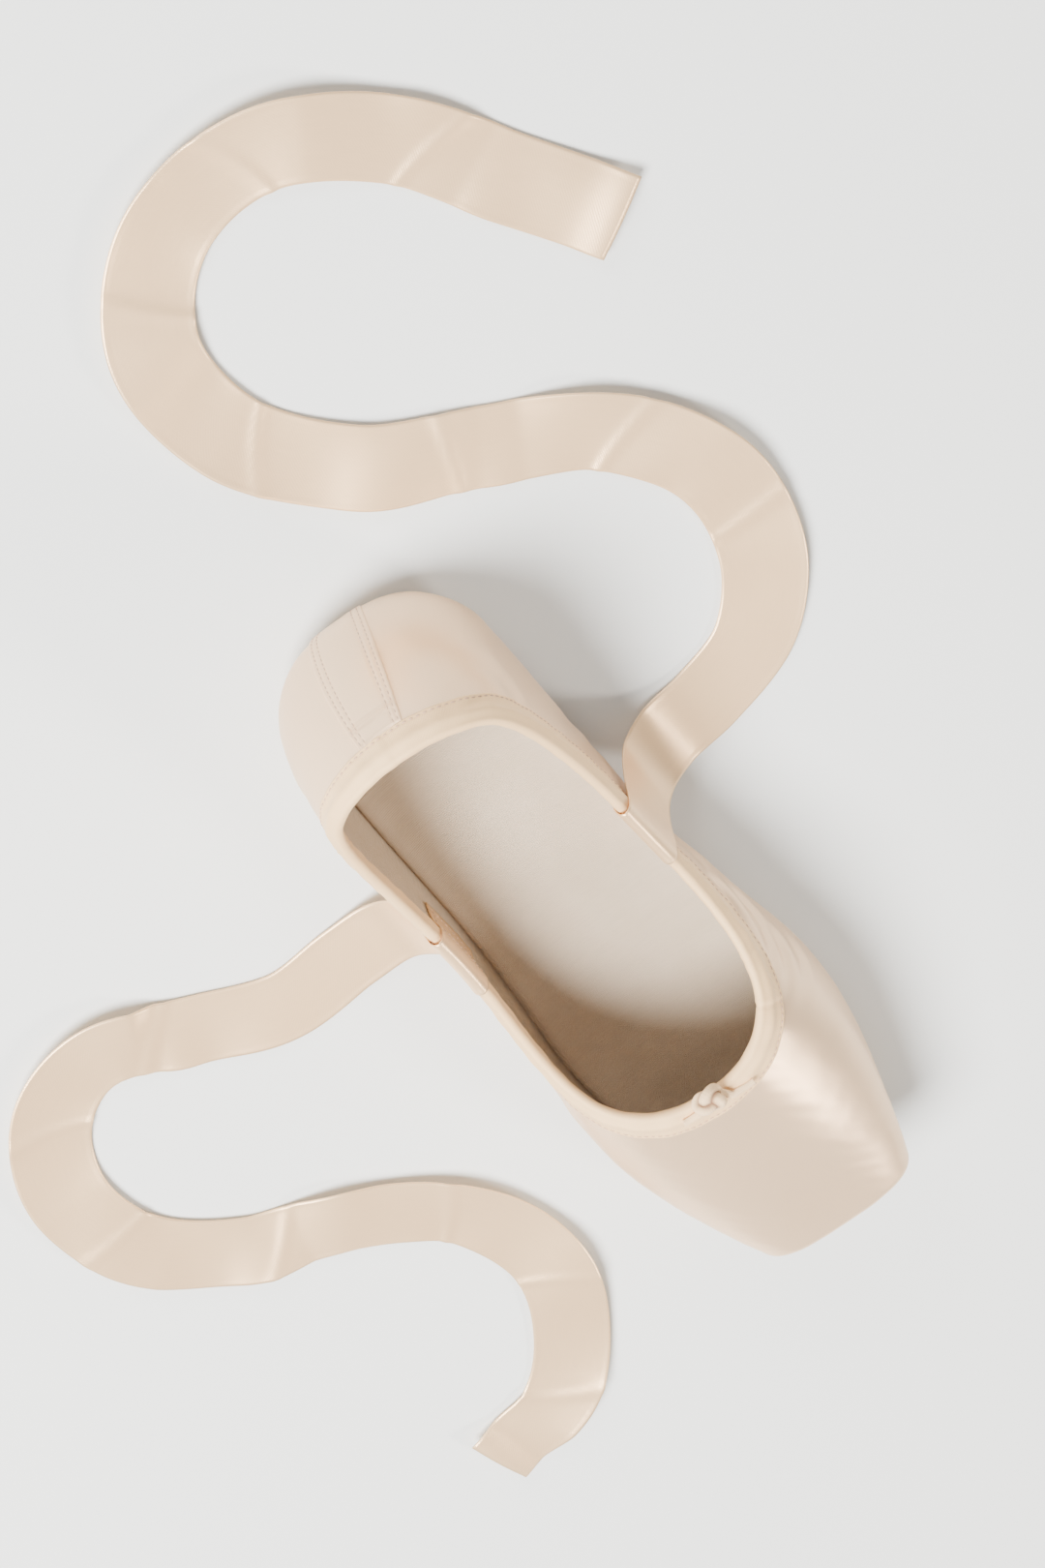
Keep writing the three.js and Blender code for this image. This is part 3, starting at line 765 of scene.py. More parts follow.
def makeRibbon(side):
    sign = 1 if side == "left" else -1
    sewnAt, lifts = ribbon["place"], ribbon["lift"]
    route, laid = ([(sewnAt, sign * y, z) for y, z in ribbon[part]] + ribbon["floor"][side]
                   for part in ("over", "hang"))
    path, run = smoothPath(laid, ribbon["step"])
    tangent = unit(np.gradient(path, axis=0))
    across = np.empty_like(path)
    before = np.array([1.0, 0, 0])  # along the shoe where it is sewn in
    for k in range(len(path)):
        before = unit((before - tangent[k] * before.dot(tangent[k])) * (1, 1, 0))
        across[k] = before
    up = unit(np.cross(across, tangent))
    up *= math.copysign(1, up[-1, 2])
    half = ribbon["width"] / 2
    s = np.linspace(-1, 1, ribbon["columns"])
    middle = len(s) // 2
    grid = path[:, None] + across[:, None] * (s * half)[None, :, None]
    # over the binding each thread follows the collar at its own place, and lower down it hangs free
    inShoe = run < run[np.argmax(path[:, 2])]
    holdFrom, holdOver = ribbon["holdFrom"]
    hold = ease((path[:, 2] - holdFrom) / holdOver) * (run < ribbon["wallEnds"])
    hold = np.where(inShoe, 1.0, hold)[:, None]
    collar = along(collarLine, 1, sewnAt + s * half) - along(collarLine, 1, sewnAt)
    grid[..., 2] += hold * collar[None, :]
    shift = wallWidth(grid[..., 0], grid[..., 2]) - wallWidth(sewnAt, grid[:, middle:middle + 1, 2])
    grid[..., 1] += hold * shift * sign
    # on the floor the outer edge lifts in the curves, and it lies in slow waves
    laidFrom, laidOver = ribbon["laidFrom"]
    laidFlat = ease((run - laidFrom) / laidOver)
    heading = np.unwrap(np.arctan2(tangent[:, 1], tangent[:, 0]))
    bend = np.gradient(heading, run)
    smoothing = np.exp(-np.linspace(-2, 2, 21) ** 2)
    bend = np.convolve(bend, smoothing / smoothing.sum(), mode="same") * laidFlat
    outward = -np.sign(np.cross(tangent, across)[:, 2])[:, None] * s[None, :]
    lean = np.clip(bend * 42, -1, 1)[:, None]
    rise = 0.5 + 0.5 * outward * np.sign(lean)
    lift = lifts["bank"] * np.abs(lean) * rise ** 1.7
    slow = 0.5 + 0.5 * np.sin(run / 11.5 + (0.8 if sign > 0 else 2.1))
    lift = lift + lifts["wave"] * (laidFlat * slow ** 2)[:, None] * (1 - 0.55 * s[None, :] ** 2)
    ripple = np.sin(run[:, None] / 5.2 + 1.5 * np.sin(run[:, None] / 23.0))
    lift = lift + (lifts["ripple"] * (1 + ripple) * np.abs(lean) * (1 - rise) ** 1.5
                   * laidFlat[:, None])
    endLength = ribbon["endLength"]
    lift = lift + (ease((run - run[-1] + endLength) / endLength) ** 2 * lifts["end"])[:, None]
    for spot, slant in ribbon["creases"]:
        lift = lift + lifts["crease"] * bump(run[:, None] - spot - slant * s[None, :], 0, 1.7)
    edge = ribbon["thickness"] / 2 + ribbon["selvedge"] * bump(np.abs(s), 0.955, 0.04)
    top = grid + up[:, None] * (lift + edge[None, :])[..., None]
    bottom = grid + up[:, None] * (lift - ribbon["thickness"] / 2)[..., None]
    bottom[..., 2] = np.maximum(bottom[..., 2], 0.05)
    uvGrid = np.stack(np.broadcast_arrays(s[None, :] * half, run[:, None]), -1)
    name = "ribbon" + side.capitalize()
    obj = slabObject(name, top, bottom, ribbonCloth, uvGrid)
    ride(obj, "ribbon", "ribbon_" + side)
    tuple(place(route[0]))
    [tuple(p) for p in place(route)]
    # the sewn patch inside the shoe
    rows = [k for k in range(len(run)) if ribbon["patch"][0] < run[k] < ribbon["patch"][1]]
    inset = ribbon["patchInset"]
    inner = top if (top - bottom)[rows[-1], middle, 1] * sign < 0 else bottom
    lines = [inner[rows, inset], inner[rows, -1 - inset],
             inner[rows[0], inset:-inset], inner[rows[-1], inset:-inset]]
    patch = []
    for line in lines:
        normal = np.tile([0.0, -sign, 0], (len(line), 1))
        patch.append((line + normal * 0.1, normal))
    stitchRows(name + "Stitches", patch, "ribbon", seamThread, ribbon["stitch"])
    return run[-1]


for side in ("left", "right"):
    print("ribbon", side, round(makeRibbon(side)), "mm")


# Upper
upperGrid = {
    "columns": 560,
    "rows": 110,
    "toeDensity": 2.8,     # columns crowd together round the toe, where the pleats are
    "toeReach": 0.22,      # over this share of half the outline
    "bendWeight": 8.0,
    "fanHeel": 23.0,
    "fanToe": 150.0,
    "fanHeight": 22.0,
    "traceSteps": 420,
    "outlineSteps": 1441,
    "outlineHeight": 20.0,
    "satin": 0.6,          # thickness of the satin skin
    "backEvery": 4,        # rows of its plain back
    "liningRows": 56,
    "liningEvery": 2,      # columns
    "liningGap": 0.1,
}


def columnShares(count):
    fine = np.linspace(0, 1, 2001)
    crowd = 1 - ease((fine / upperGrid["toeReach"]) ** 2)
    density = 1 + (upperGrid["toeDensity"] - 1) * crowd
    total = np.concatenate([[0], np.cumsum((density[1:] + density[:-1]) / 2)])
    half = np.interp(np.linspace(0, total[-1], count // 2 + 1), total, fine)
    return np.concatenate([half, 2 - half[-2:0:-1]])


def outlineAt(shares):
    turn = np.linspace(0, math.pi, upperGrid["outlineSteps"])
    middle = np.array([last["length"] / 2, 0, upperGrid["outlineHeight"]])
    outline = castOntoLast(middle, np.stack([np.cos(turn), np.sin(turn), 0 * turn], -1))
    lengths = runningLengths(outline)
    wanted = lengths[-1] * np.minimum(shares, 2 - shares)
    points = pointsAt(wanted, lengths, outline)
    points[:, 1] *= np.where(shares > 1, -1, 1)
    return points, np.where(shares > 1, -wanted, wanted)


def traceMeridians(shares):
    # lines over the last from the collar's edge to the opening under the outsole
    q, around = outlineAt(shares)
    x = mix(upperGrid["fanHeel"], upperGrid["fanToe"], q[:, 0] / last["length"])
    origin = np.stack([x, 0 * x, 0 * x + upperGrid["fanHeight"]], -1)
    outward = unit((q - origin) * (1, 1, 0))

    def at(angle):
        up = np.array([0.0, 0.0, 1.0])
        return castOntoLast(origin, outward * np.cos(angle)[..., None] + up * np.sin(angle)[..., None])

    def aboveCollar(p):
        return p[..., 2] > along(collarLine, 1, p[..., 0])

    def inSoleOpening(p):
        lap = outsole["lap"]
        inside = (p[..., 0] > outsole["heel"] + lap) & (p[..., 0] < outsole["toe"] - lap)
        return inside & (np.abs(p[..., 1]) < soleHalf(p[..., 0], lap))

    ones = np.ones(len(shares))
    top = bisect(-0.2 * ones, math.pi / 2 * ones, lambda a: aboveCollar(at(a)), 28)
    bottom = -bisect(0.2 * ones, math.pi / 2 * ones, lambda a: inSoleOpening(at(-a)), 28)
    down = np.linspace(0, 1, upperGrid["traceSteps"])[:, None]
    return at(mix(top[None, :], bottom[None, :], down)), around


print("tracing the last")
shares = columnShares(upperGrid["columns"])
traced, around = traceMeridians(shares)
tracedLengths = runningLengths(traced)
aroundUV = np.where(shares > 1, 2 * around.max() + around, around)


def pickAlong(lengths, wanted):
    # wanted: (rows, columns), in the same measure as lengths
    out = np.empty(wanted.shape + (3,))
    for c in range(wanted.shape[1]):
        out[:, c] = pointsAt(wanted[:, c], lengths[:, c], traced[:, c])
    return out


def downFromCollar(distance):
    return pickAlong(tracedLengths, np.full((1, len(shares)), float(distance)))[0]


edgePoint = downFromCollar(0)
ringSteps = np.linalg.norm(np.diff(edgePoint, axis=0, append=edgePoint[:1]), axis=-1)
collarTotal = ringSteps.sum()
collarRun = np.concatenate([[0], np.cumsum(ringSteps)[:-1]])  # from the throat round the collar
collarRun = np.where(shares > 1, collarRun - collarTotal, collarRun)

pleats = [  # side, place at the sole's edge, place at the platform's edge, how far it runs, depth
    (-1, 8.6, 12.8, 33, 1.0), (-1, 13.4, 20.6, 33, 0.8), (-1, 19.5, 24.0, 26, 0.75),
    (-1, 24.0, 28.5, 19, 0.6), (-1, 29.5, 36.0, 16, 0.6), (-1, 36.5, 45.0, 12, 0.5),
    (1, 11.6, 13.2, 33, 1.05), (1, 15.4, 18.5, 25, 0.8), (1, 20.6, 23.5, 21, 0.7),
    (1, 26.5, 31.0, 16, 0.6), (1, 34.0, 41.0, 12, 0.5),
]
fold = {"depth": 0.62, "crease": 0.42, "roll": 1.5, "ridge": 0.45, "from": 150}
unevenness = {
    "gather": 0.045,       # ripples that the drawstring pulls into the cloth below the binding
    "shoulders": ((1, 0.5), (-1, 0.3)),  # side, height of the soft ridge down the box
    "block": 0.05,         # slow waves over the stiff box
    "quarter": 0.13,       # and more of them behind it
    "fine": 0.028,
}
softCreases = [  # x, height, length, width, depth, lean from upright, side
    (126, 28, 15, 2.3, 1.15, 0.95, 1),
    (135, 24, 14, 2.1, 0.95, 0.80, 1),
    (145, 29, 10, 2.0, 0.75, 0.60, 1),
    (153, 25, 9, 2.4, 0.45, 0.50, 1),
    (117, 20, 11, 2.6, 0.60, 1.1, 1),
    (129, 26, 13, 2.4, 0.85, 0.90, -1),
    (140, 22, 12, 2.2, 0.65, 0.75, -1),
    (150, 27, 8, 2.4, 0.40, 0.6, -1),
    (66, 24, 14, 3.6, 0.50, -0.5, 1),
    (58, 18, 12, 3.6, 0.40, -0.6, 1),
    (62, 22, 12, 3.6, 0.45, -0.6, -1),
    (24, 40, 12, 3.5, 0.32, 1.3, 1),
    (26, 36, 12, 3.5, 0.32, 1.3, -1),
]


def reliefAt(points, fromCollar, fromSole):
    # folds and unevenness of the satin, millimetres over the last
    x, y, z = points[..., 0], points[..., 1], points[..., 2]
    aroundToe = around[None, :]
    run = collarRun[None, :]
    height = np.zeros_like(x)
    for side, nearSole, nearToe, reach, depth in pleats:
        share = np.clip((fromSole - 5) / 28, 0, 1.3)
        d = aroundToe * side - mix(nearSole, nearToe, share)
        shape = (fold["ridge"] * bump(d, fold["roll"], fold["roll"] * 0.8)
                 - bump(d, 0, fold["crease"]) + 0.25 * bump(d, -1.3, 0.9))
        fade = (1 - ease((fromSole - reach * 0.35) / (reach * 0.75))) ** 0.8
        start = ease((fromSole - 3.0) / 2.5)
        height += fold["depth"] * depth * fade * start * shape * (x > fold["from"])
    for cx, cz, length, width, depth, lean, side in softCreases:
        u = (x - cx) * math.sin(lean) + (z - cz) * math.cos(lean)
        w = (x - cx) * math.cos(lean) - (z - cz) * math.sin(lean) + 0.02 * u * u
        taper = np.exp(-((u / length) ** 2) * 1.6) * ease(y * side / 6)
        height -= depth * taper * (bump(w, 0, width) - 0.55 * bump(w, width * 1.9, width))
    gather = np.sin(run * 0.92) + 0.7 * np.sin(run * 0.57 + 1.3)
    height += unevenness["gather"] * gather * bump(fromCollar, 8, 6) * bump(run, 0, 60)
    for side, amount in unevenness["shoulders"]:
        line = mix(36.0, 26.5, (x - 140) / 95)
        ridge = bump(z - line, 0, 4.5) - 0.6 * bump(z - line, -8.5, 4.5)
        height += amount * ridge * ease(y * side / 8) * ease((x - 146) / 30) * ease((240 - x) / 20)
    slow = (np.sin(x * 0.071 + 0.8) * np.sin(z * 0.13 + y * 0.04)
            + 0.5 * np.sin(x * 0.143 + z * 0.11 + y * 0.05))
    height += (unevenness["block"] + unevenness["quarter"] * (1 - ease((x - 120) / 60))) * slow
    fine = (np.sin(x * 0.62 + 2.2 * np.sin(y * 0.17 + 0.4))
            * np.sin(y * 0.71 + z * 0.3 + 1.8 * np.sin(x * 0.13)))
    fine = fine + 0.7 * np.sin(x * 0.31 - y * 0.44 + z * 0.2 + 1.4 * np.sin(y * 0.11))
    height += unevenness["fine"] * fine
    return height * ease((fromCollar - 1) / 4)


def upperRows():
    # more rows where the surface bends
    direction = unit(np.diff(traced, axis=0))
    turn = np.arccos(np.clip(np.sum(direction[1:] * direction[:-1], -1), -1, 1))
    bend = np.zeros(tracedLengths.shape)
    bend[1:-1] = turn
    weights = tracedLengths + upperGrid["bendWeight"] * np.cumsum(bend, 0)
    wanted = np.linspace(0, 1, upperGrid["rows"])[:, None] * weights[-1][None, :]
    run = np.stack([np.interp(wanted[:, c], weights[:, c], tracedLengths[:, c])
                    for c in range(len(shares))], 1)
    return weights, pickAlong(tracedLengths, run), run


print("upper")
weights, outer, fromCollar = upperRows()
fromSole = tracedLengths[-1][None, :] - fromCollar
outerNormal = lastNormal(outer)
relief = reliefAt(outer, fromCollar, fromSole)
backRows = np.unique(np.append(np.arange(0, len(outer), upperGrid["backEvery"]), len(outer) - 1))
front = outer + outerNormal * relief[..., None]
back = outer[backRows] - outerNormal[backRows] * upperGrid["satin"]
ride(ringObject("upperSatin", np.concatenate([front, back[::-1]]), satin, aroundUV), "satin", "upper")

liningDown = np.linspace(0, 1, upperGrid["liningRows"])[:, None] * weights[-1][None, :]
liningRows = pickAlong(weights, liningDown)[:, ::upperGrid["liningEvery"]]
liningNormal = lastNormal(liningRows)
liningFace = liningRows - liningNormal * wallAt(liningRows[..., 0])[..., None]
liningBack = liningRows - liningNormal * (upperGrid["satin"] + upperGrid["liningGap"])
ride(ringObject("liningCloth", np.concatenate([liningBack, liningFace[::-1]]), canvas,
                aroundUV[::upperGrid["liningEvery"]]), "lining", "upper")

print("side seams")
seam = {
    "topX": 86.0,
    "bottomX": 112.0,
    "sweep": (0.9, -1.5),  # angles seen from inside, from over the collar to under the sole
    "middle": 20.0,        # the height that they are seen from
    "slant": (0.55, 1.75), # it starts to slant here, and reaches bottomX over this
    "bend": 1.4,           # above 1 it runs steeper at the top
    "width": 8.0,
    "lap": 0.6,            # the turned edge of the front piece, one thickness up
    "edge": 0.5,
    "fade": (6.0, 2.2),    # the fold underneath thins out here
    "rows": (1.3, 4.9),
    "groove": 0.16,
    "proud": 0.2,
    "sunk": 0.35,
    "belowCollar": 6.9,
    "steps": 110,
    "stitch": {"pitch": 1.9, "length": 1.3, "thread": 0.36, "flatness": 0.8},
}


def seamPoints(side, behind):
    # behind: millimetres toward the heel from the seam's edge, one per column
    angle = np.linspace(*seam["sweep"], 500)
    slantFrom, slantOver = seam["slant"]
    share = np.clip((slantFrom - angle) / slantOver, 0, 1)
    x = mix(seam["topX"], seam["bottomX"], share ** seam["bend"])
    columns = []
    for d in behind:
        xs = x - d
        origin = np.stack([xs, 0 * xs, 0 * xs + seam["middle"]], -1)
        p = castOntoLast(origin, np.stack([0 * xs, side * np.cos(angle), np.sin(angle)], -1))
        below = p[:, 2] < along(collarLine, 1, p[:, 0]) - seam["belowCollar"]
        p = p[below & (np.abs(p[:, 1]) > soleEdgeHalf(p[:, 0]) - 0.8)]
        columns.append(resampled(p, seam["steps"]))
    return np.stack(columns, 1)


def seamHeight(d):
    fadeFrom, fadeOver = seam["fade"]
    lift = seam["edge"] * roundEnd((d + 0.02) / seam["lap"]) * (1 - ease((d - fadeFrom) / fadeOver))
    for row in seam["rows"]:
        lift = lift - seam["groove"] * bump(d, row, 0.5)
    return lift + seam["proud"]


seamPaths = []
for side, name in ((1, "Left"), (-1, "Right")):
    behind = np.concatenate([np.linspace(0, seam["lap"], 6),
                             np.linspace(seam["lap"], seam["width"], 26)[1:]])
    base = seamPoints(side, behind)
    normal = lastNormal(base)
    face = base + normal * seamHeight(behind)[None, :, None]
    hidden = base - normal * seam["sunk"]
    downSeam = np.arange(seam["steps"]) * 0.4
    uvGrid = np.stack(np.broadcast_arrays(behind[None, :], downSeam[:, None]), -1)
    ride(slabObject("seam" + name, face, hidden, satin, uvGrid), "satin")
    rows = seamPoints(side, seam["rows"])
    rowNormal = lastNormal(rows)
    for k, row in enumerate(seam["rows"]):
        lifted = rows[:, k] + rowNormal[:, k] * (seamHeight(np.array(row)) + 0.03)
        seamPaths.append((lifted[2:-1], rowNormal[2:-1, k]))
stitchRows("seamStitches", seamPaths, "satin", seamThread, seam["stitch"])

print("back strip")
backStrip = {
    "half": 9.0,
    "lowerHalf": 8.2,
    "top": 6.9,            # below the collar's edge
    "foot": 2.8,           # its height at the outsole
    "thickness": 0.55,
    "proud": 0.1,
    "sunk": 0.3,
    "fold": 12.5,          # the turned end's crease, below the collar's edge
    "foldUp": 0.25,
    "foldDown": 0.2,
    "rows": (1.3, 3.0),
    "groove": 0.13,
    "stitch": {"pitch": 1.9, "length": 1.3, "thread": 0.36, "flatness": 0.8},
}
heelColumn = len(shares) // 2
heelAround = aroundUV - aroundUV[heelColumn]


def heelPoint(across, down):
    # across: millimetres round the heel from its middle; down: below the collar's edge
    column = np.interp(across, heelAround, np.arange(len(heelAround)))
    low = np.floor(column).astype(int)
    t = (column - low)[..., None]
    out = np.empty(across.shape + (3,))
    for index in np.ndindex(across.shape):
        pair = [pointsAt(down[index], tracedLengths[:, c], traced[:, c])
                for c in (low[index], low[index] + 1)]
        out[index] = mix(*pair, t[index])
    return out


def stripLift(across, down, half):
    inward = half - np.abs(across)
    fold = backStrip["fold"]
    lift = backStrip["thickness"] * roundEnd((inward + 0.02) / 0.8)
    lift = (lift + backStrip["foldUp"] * bump(down, fold, 0.5)
            - backStrip["foldDown"] * bump(down, fold + 1.0, 0.45))
    for row in backStrip["rows"]:
        lift = lift - backStrip["groove"] * bump(inward, row, 0.45)
    return backStrip["proud"] + lift * ease((down - backStrip["top"] + 0.2) / 1.6)


heelPath = traced[:, heelColumn]
footDown = float(np.interp(-backStrip["foot"], -heelPath[:, 2], tracedLengths[:, heelColumn]))
down = np.linspace(backStrip["top"], footDown, 120)
half = mix(backStrip["half"], backStrip["lowerHalf"], np.linspace(0, 1, len(down)))
acrossGrid = np.sin(np.linspace(-1, 1, 61) * math.pi / 2)[:, None] * half[None, :]
downGrid = np.broadcast_to(down[None, :], acrossGrid.shape)
base = heelPoint(acrossGrid, downGrid)
normal = lastNormal(base)
face = base + normal * stripLift(acrossGrid, downGrid, half[None, :])[..., None]
hidden = base - normal * backStrip["sunk"]
uvGrid = np.stack([acrossGrid, downGrid], -1)
ride(slabObject("heelStrip", face, hidden, satin, uvGrid), "satin", "back_strip")
stripPaths = []
for row in backStrip["rows"]:
    for side in (1, -1):
        across = side * (half - row)
        p = heelPoint(across, down)
        n = lastNormal(p)
        lifted = p + n * (stripLift(across, down, half) + 0.06)[:, None]
        stripPaths.append((lifted[4:-4], n[4:-4]))
stitchRows("heelStripStitches", stripPaths, "satin", stripThread, backStrip["stitch"])

# Binding
binding = {
    "width": 7.6,
    "innerWidth": 6.5,
    "cordAt": 2.3,         # the drawstring's bulge below the fold
    "cordBulge": 0.8,
    "thickness": 0.55,
    "edge": 0.34,
    "pucker": 0.10,
    "groove": 0.16,
    "stitchIn": 0.9,
    "joins": (29.0, 41.5, -150.0),  # where the tape is pieced, along the collar from the throat
    "touch": 0.03,         # its hidden side clears the satin and the lining by this
    "stitch": {"pitch": 1.8, "length": 1.15, "thread": 0.36, "flatness": 1.0},
    "threadUp": 0.07,
}


def bindingLift(s, width):
    bulge = binding["thickness"] + binding["cordBulge"] * bump(s, binding["cordAt"], 1.7)
    lift = mix(binding["edge"], bulge, roundEnd((width - s) / 1.8))
    lift = lift - binding["groove"] * bump(s, width - binding["stitchIn"], 0.35)
    waves = (np.sin(collarRun * 0.83 + 0.6 * np.sin(collarRun * 0.11))
             + 0.7 * np.sin(collarRun * 0.49 + s))
    lift = lift + binding["pucker"] * waves * (0.35 + 0.65 * bump(s, 4.8, 3))
    for join in binding["joins"]:
        lift = lift - 0.28 * bump(collarRun, join, 0.45) + 0.12 * bump(collarRun, join + 1.2, 0.8)
    return lift


def wallPoint(s, offset):
    # on the last, s below the collar's edge and offset out from it
    p = downFromCollar(s)
    return p + lastNormal(p) * np.broadcast_to(offset, p.shape[:1])[:, None]


def innerPoint(s, offset):
    # the same on the lining's side
    p = downFromCollar(s)
    return p - lastNormal(p) * (wallAt(p[:, 0]) + offset)[:, None]


print("binding")
edgeNormal = lastNormal(edgePoint)
edgeUp = unit(edgePoint - downFromCollar(1.0))
edgeWall = wallAt(edgePoint[:, 0])
outerSteps = np.linspace(binding["width"], 0, 26)
innerSteps = np.linspace(0, binding["innerWidth"], 16)
loops = [wallPoint(s, bindingLift(s, binding["width"])) for s in outerSteps]
for angle in np.linspace(0, math.pi, 11)[1:-1]:
    middle = edgePoint - edgeNormal * (edgeWall / 2)[:, None]
    radius = (edgeWall / 2 + bindingLift(0, binding["width"]))[:, None]
    loops.append(middle + radius * (edgeNormal * math.cos(angle) + edgeUp * math.sin(angle) * 0.9))
loops.extend(innerPoint(s, bindingLift(s, binding["innerWidth"])) for s in innerSteps)
loops.extend(innerPoint(s, binding["touch"]) for s in innerSteps[::-4])
for share in (0.75, 0.25):
    loops.append(edgePoint - edgeNormal * edgeWall[:, None] * share + edgeUp * 0.2)
loops.extend(wallPoint(s, binding["touch"]) for s in outerSteps[::-5])
alongTape = np.append(collarRun[shares <= 1], collarRun[shares > 1] + collarTotal)
ride(ringObject("collarBinding", loops, bindingCloth, alongTape), "binding", "binding")
bindingPaths = []
for width, pointAt, side in ((binding["width"], wallPoint, 1), (binding["innerWidth"], innerPoint, -1)):
    at = width - binding["stitchIn"]
    row = pointAt(at, bindingLift(at, width) + binding["threadUp"])
    bindingPaths.append((row, edgeNormal * side))
stitchRows("bindingStitches", bindingPaths, "binding", bindingThread, binding["stitch"])

print("drawstring knot")
knot = {
    "width": 1.75,         # half the cord's, and half its height
    "height": 1.45,
    "swell": 0.12,
    "rise": 2.2,
    "forward": -1.3,
    "spread": 1.12,
    "weave": 1.15,         # how far strands pass over and under
    "steps": 180,
    "tailWidth": 1.15,
    "tails": {             # along the collar, below the fold, over the tape
        "Left": ((4.6, 1.6, 0.9), (6.3, 2.4, 0.55), (8.2, 3.4, 0.55), (9.6, 4.0, 0.8)),
        "Right": ((4.4, 0.6, 0.9), (6.0, 1.2, 0.6), (7.6, 1.5, 0.6), (8.8, 1.4, 0.9)),
    },
}
cordCloth = clothMaterial("drawstringCord", dict(
    satinLook, shader={"Sheen Weight": 0.2, "Sheen Roughness": 0.5, "Specular IOR Level": 0.3},
    low=(0.97, 0.67, 0.37), high=(0.99, 0.72, 0.43), mottleScale=300.0, shade=(0.30, 0.155, 0.08),
    rough=0.7, bump=0.5, warp=0.45, weft=0.45, float=1.0,
))


def cordRing(path, width, height, upHint, closed=False, sides=22):
    # a slightly fluted cord round a path, as (sides, steps, 3)
    if closed:
        tangent = unit(np.roll(path, -1, 0) - np.roll(path, 1, 0))
    else:
        tangent = unit(np.gradient(path, axis=0))
    across = unit(np.cross(tangent, upHint))
    up = np.cross(across, tangent)
    angle = np.linspace(0, 2 * math.pi, sides, endpoint=False)[:, None, None]
    fluted = 1 + 0.05 * np.cos(5 * angle)
    return (path + across * np.cos(angle) * fluted * width[:, None]
            + up * np.sin(angle) * fluted * height[:, None])


def knotShadeMask(ring, path):
    # painted shade: how dark each point is painted, where it lies between one strand and another and on
    # a strand's underside toward the binding
    steps = np.arange(len(path))
    apart = np.abs(steps[:, None] - steps[None, :])
    same = np.minimum(apart, len(path) - apart) < len(path) // 12
    away = np.linalg.norm(ring[:, :, None] - path[None, None], axis=-1) + 99 * same[None]
    between = bump(np.maximum(away.min(-1) - 1.5, 0), 0, 0.85)
    underneath = ease((-0.2 - (ring - path) @ knotUp) / 0.8)
    return np.maximum(between, underneath)


throat = edgePoint[0]
knotUp = unit(edgeNormal[0] * 0.8 + edgeUp[0] * 0.35)
knotSide = np.array([0.0, 1.0, 0.0])
knotAhead = np.cross(knotSide, knotUp)
knotMiddle = throat + knotUp * (knot["rise"] + 1.0) + knotAhead * knot["forward"]
t = np.linspace(0, 2 * math.pi, knot["steps"], endpoint=False)
knotX = np.sin(t) + 2 * np.sin(2 * t)
knotY = np.cos(t) - 2 * np.cos(2 * t)
path = (knotMiddle + knotSide * (knotY * knot["spread"])[:, None]
        + knotAhead * (knotX * knot["spread"] * 0.72)[:, None]
        - knotUp * (np.sin(3 * t) * knot["weave"])[:, None])
swell = 1 + knot["swell"] * np.sin(3 * t + 0.5)
ring = cordRing(path, knot["width"] * swell, knot["height"] + 0 * t, knotUp, closed=True)
knotObject = ringObject("drawstringKnot", ring, cordCloth, runningLengths(path))
# painted shade between the knot's strands and under them
setAttribute(knotObject, "paintedShade", knotShadeMask(ring, path))
ride(knotObject, "cord", "drawstring_knot")
order = np.argsort(collarRun)
for side, name in ((1, "Left"), (-1, "Right")):
    tail = [knotMiddle + knotSide * side * out - knotUp * down for out, down in ((1.0, 0.2), (2.9, 0.8))]
    for away, below, height in knot["tails"][name]:
        face = wallPoint(below, bindingLift(below, binding["width"]) + height)[order]
        tail.append(pointsAt(side * away, collarRun[order], face))
    path, run = smoothPath(tail, 0.25)
    width = knot["tailWidth"] * (1 - 0.2 * run / run[-1])
    ring = cordRing(path, width, width * 0.62, knotUp)
    uvGrid = np.stack(np.broadcast_arrays(np.arange(len(ring))[:, None] * 0.25, run[None, :]), -1)
    ride(cappedObject("drawstring" + name, ring, cordCloth, uvGrid), "cord")

# Outsole
print("outsole")


def outsoleTop(x, y):
    return underside(x, y) - outsole["gap"]


def outsoleTread(x, y):
    tread = outsoleTop(x, y) - outsole["thickness"] - outsole["relief"]
    return np.maximum(outsole["flat"], tread)


def soleStations(count):
    # places along the sole, close together at its ends
    return mix(outsole["heel"], outsole["toe"], (1 - np.cos(np.linspace(0, math.pi, count))) / 2)


def outlineDistance(x, y):
    # how far in from the sole's outline
    xs = soleStations(420)
    ys = soleEdgeHalf(xs)
    ring = np.concatenate([[(xs[0], 0)], np.stack([xs, ys], -1), [(xs[-1], 0)]])
    a, b = ring[:-1], ring[1:]
    points = np.stack([x.ravel(), np.abs(y).ravel()], -1)
    best = np.full(len(points), 1e9)
    for p, q in zip(a, b):
        d = q - p
        t = np.clip(((points - p) @ d) / max(d @ d, 1e-9), 0, 1)
        best = np.minimum(best, np.sum((points - p - t[:, None] * d) ** 2, -1))
    return np.sqrt(best).reshape(x.shape)


perMillimetre = math.hypot(1 / outsole["scoreLong"], 1 / outsole["scoreWide"])


def scoreLines(x, y, width):
    # crossed lines; leatherMaterial() colours the same ones
    a = (x - outsole["scoreStart"]) / outsole["scoreLong"]
    b = y / outsole["scoreWide"]
    near = [np.abs(v - np.maximum(np.round(v), 0)) / perMillimetre for v in (a + b, a - b)]
    return bump(np.minimum(*near), 0, width)


